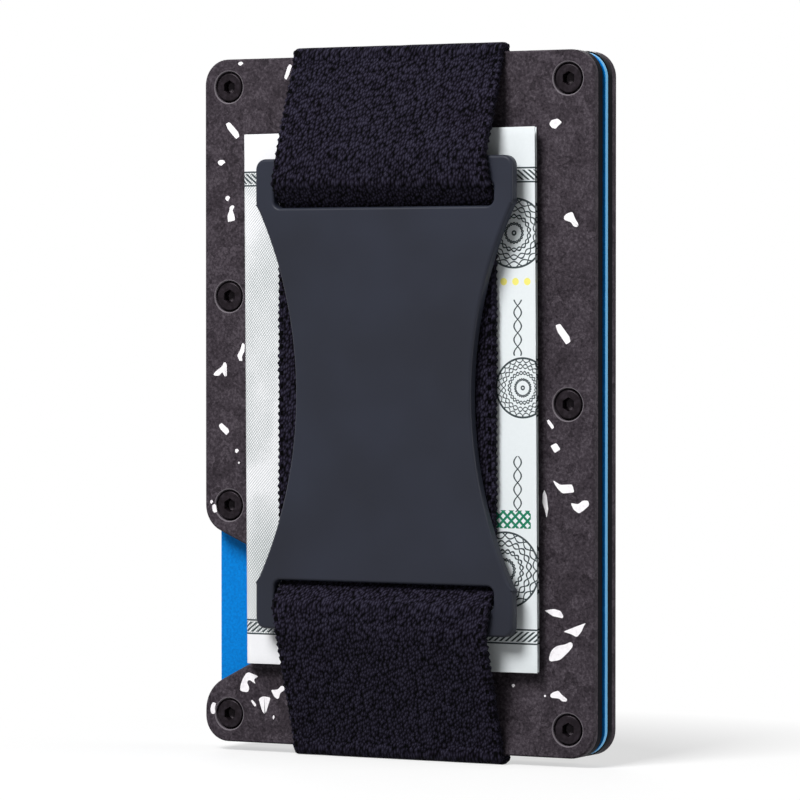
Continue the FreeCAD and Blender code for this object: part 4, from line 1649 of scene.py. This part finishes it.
@dataclass
class CashStrap:
    """Woven elastic loop round the front outer plate and through the clip.

    Attributes:
        thickness: Where it is free.
        clamped: Thickness where the plates squeeze it.
        play: Gap to the plate's face.
        clip_play: Gap to the clip's back.
        wrap: How far in from each end it lies on the plate's face before it rises.
        bar: Height of the clip's end bars.
        slot: Height of the clip's slots.
        step: Distance from row to row.
        plate_bend: Inner radius round the plate's ends.
        slot_bend: Inner radius through the slots.
        squeeze_reach: How far past the plate's ends it swells to its full thickness.
        lap: How far inside the plate's ends the clamped run meets the free ones.
        picot: How far its edge loops stand out.
        picot_pitch: From loop to loop.
        relief: Height of its uneven surface.
        slot_spread: How much further it reaches to the left in the slots.
        under_spread: The same under the clip.
        right_spread: How much further it reaches to the right in the slots.
    """

    thickness: float = 1.1 * MM
    clamped: float = 0.7 * MM
    play: float = 0.03 * MM
    clip_play: float = 0.08 * MM
    wrap: float = 1.0 * MM
    bar: float = 3.1 * MM
    slot: float = 3.0 * MM
    step: float = 0.24 * MM
    plate_bend: float = 0.2 * MM
    slot_bend: float = 0.4 * MM
    squeeze_reach: float = 0.4 * MM
    lap: float = 1.2 * MM
    picot: float = 0.3 * MM
    picot_pitch: float = 0.9 * MM
    relief: float = 0.03 * MM
    slot_spread: float = 0.5 * MM
    under_spread: float = 1.05 * MM
    right_spread: float = 0.42 * MM

    def route(self) -> list[RoutePoint]:
        """Lay the loop from the middle of its clamped run, up, down the front and back.

        Returns:
            Its points.
        """
        low, high = node_box("cash_strap")
        plate_low, plate_high = node_box("front_outer_plate")
        clip_low, clip_high = node_box("cash_clip")
        half = self.thickness / 2
        clamped_y = high.y - self.clamped / 2
        face_y = plate_low.y - self.play - half
        crest_y = low.y + half
        under_y = clip_high.y + self.clip_play + half
        bar_top, slot_top = clip_high.z, clip_high.z - self.bar
        slot_bottom = slot_top - self.slot
        bar_low, slot_high = clip_low.z, clip_low.z + self.bar
        plate_turn, slot_turn = self.plate_bend + half, self.slot_bend + half
        slack_turn = 2 * self.thickness + half
        corners = [
            (clamped_y, (low.z + high.z) / 2), (clamped_y, high.z - half),
            (face_y, high.z - half), (face_y, plate_high.z - self.wrap),
            (crest_y, bar_top), (crest_y, slot_top), (under_y, slot_bottom),
            (under_y, slot_high + self.slot), (crest_y, slot_high), (crest_y, bar_low),
            (face_y, plate_low.z + self.wrap), (face_y, low.z + half), (clamped_y, low.z + half)]
        radii = [0, plate_turn, plate_turn, slack_turn, slack_turn, slot_turn, slot_turn,
                 slot_turn, slot_turn, slack_turn, slack_turn, plate_turn, plate_turn]
        return rounded_route(corners, radii, self.step, closed=True)

    def thickness_at(self, point: RoutePoint) -> float:
        """Give the full thickness where it is free and less where the plates squeeze it.

        Args:
            point: A point of the route.

        Returns:
            The thickness there.
        """
        plate_low, plate_high = node_box("front_outer_plate")
        if point.place.x < (plate_low.y + plate_high.y) / 2:
            return self.thickness
        outside = max(point.place.y - plate_high.z, plate_low.z - point.place.y)
        share = min(max(outside / self.squeeze_reach, 0.0), 1.0)
        return self.clamped + (self.thickness - self.clamped) * share

    def spread_at(self, point: RoutePoint) -> tuple[float, float]:
        """Work out how far the strap relaxes to the left and to the right.

        It fills the slots from end to end, and under the clip it goes on to the left.

        Args:
            point: A point of the route.

        Returns:
            How much further it reaches to the left and to the right.
        """
        low, high = node_box("cash_clip")
        if point.place.x > node_box("front_outer_plate")[0].y:
            return 0.0, 0.0
        inside = min(high.z - point.place.y, point.place.y - low.z) - self.bar
        through = min(max(inside / self.slot + 1.0, 0.0), 1.0)
        beyond = min(max((inside - self.slot) / self.slot, 0.0), 1.0)
        left = self.slot_spread * through + (self.under_spread - self.slot_spread) * beyond
        return left, self.right_spread * through * (1.0 - beyond)

    def run(self, name: str, points: list[RoutePoint]) -> bpy.types.Object:
        """Model one run of the loop.

        Args:
            name: The piece's name.
            points: The part of the route that it follows.

        Returns:
            The piece.
        """
        low, high = node_box("cash_strap")
        return Ribbon(name, points, low.x, high.x - low.x, self.thickness_at, columns=16,
                      picot=self.picot, picot_pitch=self.picot_pitch, relief=self.relief,
                      spread=self.spread_at).build()

    def build(self, material: bpy.types.Material) -> None:
        """Build the clamped run and the two free runs that meet under the clip.

        Args:
            material: The strap's finish.
        """
        plate_low, plate_high = node_box("front_outer_plate")
        clip_low, clip_high = node_box("cash_clip")
        route = self.route()
        middle = (clip_low.z + clip_high.z) / 2
        inside = (plate_low.y + plate_high.y) / 2
        count = len(route)
        top = next(i for i in range(count) if route[i].place.y > plate_high.z - self.lap)
        turn = next(i for i in range(top, count) if route[i].place.x < inside
                    and route[i].place.y < middle)
        bottom = next(i for i in range(turn, count) if route[i].place.x > inside
                      and route[i].place.y > plate_low.z + self.lap)
        clamped = route[bottom:] + [RoutePoint(p.place, p.normal, p.run + route[-1].run)
                                    for p in route[:top + 1]]
        # Each run with the heights that it stretches between as the clip lifts, if it does.
        runs = (("strap_clamped_run", clamped, None),
                ("strap_upper_run", route[top:turn + 1],
                 (plate_high.z - self.wrap, clip_high.z + self.wrap)),
                ("strap_lower_run", route[turn:bottom + 1],
                 (plate_low.z + self.wrap, clip_low.z - self.wrap)))
        for name, points, stretch in runs:
            piece = self.run(name, points)
            dress(piece, material, "" if stretch else "front_half", "strap_webbing",
                  "cash_strap")
            if stretch:
                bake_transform(piece, "front_half", "clip", (0, 0, stretch[0]), (0, 0, stretch[1]))


@dataclass
class HalfElastics:
    """Band and web that cross the card gap and draw the halves together.

    Attributes:
        thickness: Of both.
        bend: Inner radius of their turns.
        step: Distance from row to row.
        edge_round: How far in from each edge they thin.
    """

    thickness: float = 0.45 * MM
    bend: float = 0.06 * MM
    step: float = 0.4 * MM
    edge_round: float = 0.15 * MM

    def blend_over_gap(self, piece: bpy.types.Object) -> None:
        """Let a piece stretch between the two halves over the card gap.

        Args:
            piece: The piece.
        """
        front = node_box("front_inner_plate")[1].y
        rear = node_box("rear_inner_plate")[0].y
        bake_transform(piece, "front_half", "rear_half", (0, front, 0), (0, rear, 0))

    def finish_piece(self, ribbon: Ribbon, material: bpy.types.Material, node: str) -> None:
        """Build one of the two, give it its finish and let it stretch over the card gap.

        Args:
            ribbon: The piece to build.
            material: Its finish.
            node: The CAD node that it stands for.
        """
        piece = ribbon.build()
        dress(piece, material, "", "band_elastic", node)
        self.blend_over_gap(piece)

    def build(self, material: bpy.types.Material) -> None:
        """Build the band round both inner plates and the web at the closed side.

        Args:
            material: The finish of both.
        """
        half = self.thickness / 2
        turn = self.bend + half
        low, high = node_box("elastic_band")
        corners = [(high.y - half, (low.z + high.z) / 2), (high.y - half, low.z + half),
                   (low.y + half, low.z + half), (low.y + half, high.z - half),
                   (high.y - half, high.z - half)]
        route = rounded_route(corners, [0, turn, turn, turn, turn], self.step, closed=True)
        closing = RoutePoint(route[0].place, route[0].normal, route[-1].run + self.step)
        band = Ribbon("elastic_band_loop", route + [closing], low.x, high.x - low.x,
                      lambda point: self.thickness, columns=10, edge_round=self.edge_round)
        self.finish_piece(band, material, "elastic_band")

        low, high = node_box("elastic_web")
        corners = [(high.x, low.y + half), (low.x + half, low.y + half),
                   (low.x + half, high.y - half), (high.x, high.y - half)]
        route = rounded_route(corners, [0, turn, turn, 0], self.step / 2, closed=False)
        web = Ribbon("elastic_web_fold", route, low.z, high.z - low.z,
                     lambda point: self.thickness, axis=WidthAxis.Z, columns=16,
                     edge_round=self.edge_round)
        self.finish_piece(web, material, "elastic_web")


# ---------------------------------------------------------------- clip, card and notes

@dataclass
class CashClip:
    """Hourglass clip, moulded in one piece with a slot at each end for the strap.

    Attributes:
        waist: Its width in the middle.
        end_length: Height of each full-width end.
        corner_radius: Of its four corners.
        shoulder_reach: How far the corners where the waist starts are rounded.
        bar: Height of the end bars.
        rail: Width of the rails beside the slots.
        slot: Height of the slots.
        slot_radius: Of the slots' corners.
        edge_round: Rounding of the faces' edges.
    """

    waist: float = 24.4 * MM
    end_length: float = 5.6 * MM
    corner_radius: float = 1.3 * MM
    shoulder_reach: float = 0.8 * MM
    bar: float = 3.1 * MM
    rail: float = 2.6 * MM
    slot: float = 3.0 * MM
    slot_radius: float = 0.9 * MM
    edge_round: float = 0.38 * MM

    def cut_openings(self, clip: bpy.types.Object, middle: Vector, size: Vector) -> None:
        """Cut the waist with two large drums, and both slots.

        Args:
            clip: The clip's slab.
            middle: Its middle.
            size: Its size.
        """
        shoulder = size.z / 2 - self.end_length
        bow = (size.x - self.waist) / 2
        radius = (bow ** 2 + shoulder ** 2) / (2 * bow)
        drums = [add_solid(bpy.ops.mesh.primitive_cylinder_add, vertices=360, radius=radius,
                           depth=3 * size.y, rotation=(math.pi / 2, 0, 0),
                           location=middle + Vector((side * (self.waist / 2 + radius), 0, 0)))
                 for side in (-1, 1)]
        cut(clip, drums)
        slots = []
        for side in (-1, 1):
            centre_z = middle.z + side * (size.z / 2 - self.bar - self.slot / 2)
            tool = add_block("slot_tool", (middle.x, middle.y, centre_z),
                             (size.x - 2 * self.rail, 3 * size.y, self.slot))
            with editing(tool):
                pick(tool, Element.EDGE, lambda edge: abs(
                    edge.verts[0].co.y - edge.verts[1].co.y) > size.y)
                bpy.ops.mesh.bevel(offset=self.slot_radius, segments=8, profile=0.5,
                                   affect="EDGES")
            slots.append(tool)
        cut(clip, slots)

    def model(self) -> bpy.types.Object:
        """Model the clip from a slab and round its corners and edges.

        Returns:
            The clip.
        """
        low, high = node_box("cash_clip")
        middle, size = (low + high) / 2, high - low
        clip = add_block("clip_moulding", middle, size)
        self.cut_openings(clip, middle, size)

        def is_corner(edge: bmesh.types.BMEdge, height: float) -> bool:
            """Tell whether an edge runs through the clip at one of its outer corners.

            Args:
                edge: The edge.
                height: How far above and below the middle these corners are.

            Returns:
                Whether it does.
            """
            first, second = edge.verts
            return (abs(first.co.y - second.co.y) > 0.9 * size.y
                    and abs(abs(first.co.x - middle.x) - size.x / 2) < NEAR
                    and abs(abs(first.co.z - middle.z) - height) < 0.9 * MM)

        with editing(clip):
            bpy.ops.mesh.select_all(action="SELECT")
            bpy.ops.mesh.remove_doubles(threshold=WELD)
            pick(clip, Element.EDGE, lambda edge: is_corner(edge, size.z / 2 - self.end_length))
            bpy.ops.mesh.bevel(offset=self.shoulder_reach, segments=6, affect="EDGES")
            pick(clip, Element.EDGE, lambda edge: is_corner(edge, size.z / 2))
            bpy.ops.mesh.bevel(offset=self.corner_radius, segments=10, affect="EDGES")
            pick(clip, Element.EDGE, lambda edge: (
                all(abs(v.co.y - middle.y) > 0.49 * size.y for v in edge.verts)
                and edge.is_manifold and edge.calc_face_angle(0.0) > math.radians(60)))
            bpy.ops.mesh.bevel(offset=self.edge_round, segments=5, profile=0.5, affect="EDGES",
                               clamp_overlap=False)
        settle(clip, 40.0)
        return clip

    def build(self, material: bpy.types.Material) -> None:
        """Build the clip with its finish."""
        dress(self.model(), material, "clip", "clip_moulding", "cash_clip")


@dataclass
class PaymentCard:
    """Blank laminated card with punched, slightly rounded edges."""

    corner_radius: float = 3.18 * MM
    edge_round: float = 0.06 * MM

    def build(self, finish: LaminatedCard) -> None:
        """Build the card.

        Args:
            finish: Its finish.
        """
        low, high = node_box("payment_card")
        middle, size = (low + high) / 2, high - low
        card = add_block("card_blank", middle, size)
        with editing(card):
            pick(card, Element.EDGE, lambda edge: abs(
                edge.verts[0].co.y - edge.verts[1].co.y) > 0.5 * size.y)
            bpy.ops.mesh.bevel(offset=self.corner_radius, segments=16, affect="EDGES")
            pick(card, Element.EDGE, lambda edge: (
                abs(edge.verts[0].co.y - edge.verts[1].co.y) < 1e-7))
            bpy.ops.mesh.bevel(offset=self.edge_round, segments=3, affect="EDGES")
        settle(card)
        dress(card, finish.build("laminated_card", middle), "card", "card_blue", "payment_card")


@dataclass
class FoldedNotes:
    """Banknotes folded over at the left: nested leaves with free edges at the right.

    Attributes:
        leaves: How many leaves are nested.
        paper: Thickness of a leaf.
        row_step: Distance from row to row of a leaf.
        edge_round: How far in from each edge it thins.
        least_turn: Smallest radius of a fold.
        step: How much shorter the back of the outermost leaf is than its front.
        fold_step: How far each leaf's front edge stands back from that of the one outside
            it. Its back edge stands back twice as far.
        ripple: Height of the paper's unevenness.
        lean: Turn of the stack's top to the left, in degrees.
        drift: How far the stack has slid to the left.
    """

    leaves: int = 4
    paper: float = 0.095 * MM
    row_step: float = 0.35 * MM
    edge_round: float = 0.03 * MM
    least_turn: float = 0.02 * MM
    step: float = 0.5 * MM
    fold_step: float = 0.15 * MM
    ripple: float = 0.012 * MM
    lean: float = 0.36
    drift: float = 0.12 * MM

    def build(self, finish: EngravedNote) -> None:
        """Build the leaves from the outermost inwards, leaning a little as hands leave them.

        Args:
            finish: Their finish.
        """
        low, high = node_box("folded_notes")
        middle = (low + high) / 2
        leaned = (Matrix.Translation(middle - Vector((self.drift, 0, 0)))
                  @ Matrix.Rotation(-math.radians(self.lean), 4, "Y")
                  @ Matrix.Translation(-middle))
        material = finish.build("engraved_note", middle)
        pitch = (high.y - low.y) / (2 * self.leaves)
        for leaf in range(self.leaves):
            inset = (leaf + 0.5) * pitch
            front, back = low.y + inset, high.y - inset
            turn = max((back - front) / 2 - NEAR, self.least_turn)
            setback = leaf * self.fold_step
            corners = [(high.x - setback, front), (low.x + inset, front),
                       (low.x + inset, back), (high.x - self.step - 2 * setback, back)]
            route = rounded_route(corners, [0, turn, turn, 0], self.row_step, closed=False)
            piece = Ribbon("note_leaf_%d" % (leaf + 1), route, low.z, high.z - low.z,
                           lambda point: self.paper, axis=WidthAxis.Z, columns=60,
                           edge_round=self.edge_round, relief=self.ripple).build()
            piece.data.transform(leaned)
            dress(piece, material, "notes", "note_paper", "folded_notes")


# ---------------------------------------------------------------- the wallet

FRONT_FLAKES = [
    Flake(FlakeShape.CHIP, -22.0, 42.4, 0.8, 0.5),
    Flake(FlakeShape.BAR, -15.2, 41.2, 2.0, 0.55, 68),
    Flake(FlakeShape.BAR, -23.2, 34.1, 2.5, 0.85, -48),
    Flake(FlakeShape.CHIP, -24.8, 30.0, 1.15, 0.75),
    Flake(FlakeShape.CHIP, -23.9, 25.5, 0.75, 0.65, 15),
    Flake(FlakeShape.DROP, -23.4, 23.6, 1.1, 2.15),
    Flake(FlakeShape.BEND, -22.0, 6.2, 1.1, 2.3),
    Flake(FlakeShape.FORK, -25.1, 4.0, 2.05, 1.95),
    Flake(FlakeShape.BAR, -24.5, -3.5, 1.7, 0.8, -42),
    Flake(FlakeShape.CHIP, -22.6, -6.3, 0.6, 0.55),
    Flake(FlakeShape.CHIP, -22.3, -7.8, 0.3, 0.3),
    Flake(FlakeShape.CHIP, -26.3, -12.8, 0.45, 0.5),
    Flake(FlakeShape.BAR, -25.9, -13.6, 0.6, 1.1, 12),
    Flake(FlakeShape.MOON, -26.1, -38.9, 0.8, 1.5),
    Flake(FlakeShape.BARB, -20.8, -35.4, 2.8, 2.6),
    Flake(FlakeShape.TWIN, -16.7, -36.5, 2.0, 1.8),
    Flake(FlakeShape.SHARD, -18.6, -38.2, 1.75, 2.2),
    Flake(FlakeShape.BAR, -20.2, -38.0, 0.95, 0.35, -48),
    Flake(FlakeShape.CHIP, -17.3, -39.7, 0.3, 0.55),
    Flake(FlakeShape.CHIP, 22.1, 34.0, 1.75, 1.2, 8),
    Flake(FlakeShape.HUMP, 24.2, 22.5, 2.3, 1.7, -12),
    Flake(FlakeShape.BAR, 23.1, 8.6, 2.8, 0.95, -54),
    Flake(FlakeShape.BAR, 21.4, -2.4, 1.3, 0.45, -52),
    Flake(FlakeShape.BLOCK, 22.1, -5.3, 1.3, 1.2, 8),
    Flake(FlakeShape.TAIL, 23.2, -10.0, 2.9, 1.6),
    Flake(FlakeShape.CHIP, 20.7, -12.1, 3.4, 0.7, -84),
    Flake(FlakeShape.HOOK, 25.4, -12.4, 2.5, 1.6),
    Flake(FlakeShape.LEAF, 21.9, -25.4, 2.6, 1.1),
    Flake(FlakeShape.SPEAR, 24.7, -27.3, 3.1, 1.8),
    Flake(FlakeShape.BLADE, 22.9, -30.0, 3.3, 2.6),
    Flake(FlakeShape.CHIP, 16.4, -34.4, 0.45, 0.45),
    Flake(FlakeShape.HUMP, 22.5, -35.4, 2.5, 1.3),
    Flake(FlakeShape.CHIP, 20.7, -35.5, 0.3, 0.3),
]


def scattered_flakes(count: int, seed: int) -> list[Flake]:
    """Flakes for the back, scattered clear of the screws and of the plate's edges.

    Args:
        count: How many flakes.
        seed: Start of the random draws.

    Returns:
        The flakes.
    """
    draw = random.Random(seed)
    low, high = node_box("rear_outer_plate")
    middle = (low + high) / 2
    seats = [(sum(node_box("rear_screw_%d" % n), Vector()) / 2 - middle) / MM
             for n in range(1, WalletHalf.screws + 1)]
    half_width, half_height = (high.x - low.x) / 2 / MM, (high.z - low.z) / 2 / MM
    margin, seat_clear = 2.4, 2.1
    shortest, extra, skew = 0.4, 2.8, 1.6
    notch_reach, notch_low, notch_high = 9.5, -34.5, -14.0
    found: list[Flake] = []
    while len(found) < count:
        across = draw.uniform(margin - half_width, half_width - margin)
        up = draw.uniform(margin - half_height, half_height - margin)
        length = shortest + extra * draw.random() ** skew
        flake = Flake(draw.choice(list(FlakeShape)), across, up, length,
                      length * draw.uniform(0.45, 1.0), draw.uniform(-180, 180))
        near_seat = any(math.hypot(across - seat.x, up - seat.z) < seat_clear + 0.7 * length
                        for seat in seats)
        in_notch = across < notch_reach - half_width and notch_low < up < notch_high
        crowded = any(math.hypot(across - f.across, up - f.up) < 0.8 * (length + f.width)
                      for f in found)
        if not (near_seat or in_notch or crowded):
            found.append(flake)
    return found


def main() -> None:
    """Build the wallet and its studio."""
    logging.basicConfig(level=logging.INFO, format="%(message)s")
    carbon = ForgedCarbon().build("forged_carbon")
    flake = FibreFlake().build("fibre_flake")
    anodised = AnodisedAluminium().build("anodised_aluminium")
    steel = BlackOxideSteel().build("black_oxide_steel")
    strap_cloth = WovenElastic(width_mm=29.2).build("woven_elastic")
    band_cloth = WovenElastic(width_mm=18.0, relief_mm=0.08).build("narrow_elastic")
    nylon = MouldedNylon().build("moulded_nylon")

    rear_flakes = scattered_flakes(count=34, seed=7)
    WalletHalf("front", True, FRONT_FLAKES).build(carbon, flake, anodised, steel)
    WalletHalf("rear", False, rear_flakes).build(carbon, flake, anodised, steel)
    HalfElastics().build(band_cloth)
    CashStrap().build(strap_cloth)
    CashClip().build(nylon)
    PaymentCard().build(LaminatedCard())
    FoldedNotes().build(EngravedNote())
    Studio().build()
    deselect()


if __name__ == "__main__":
    main()
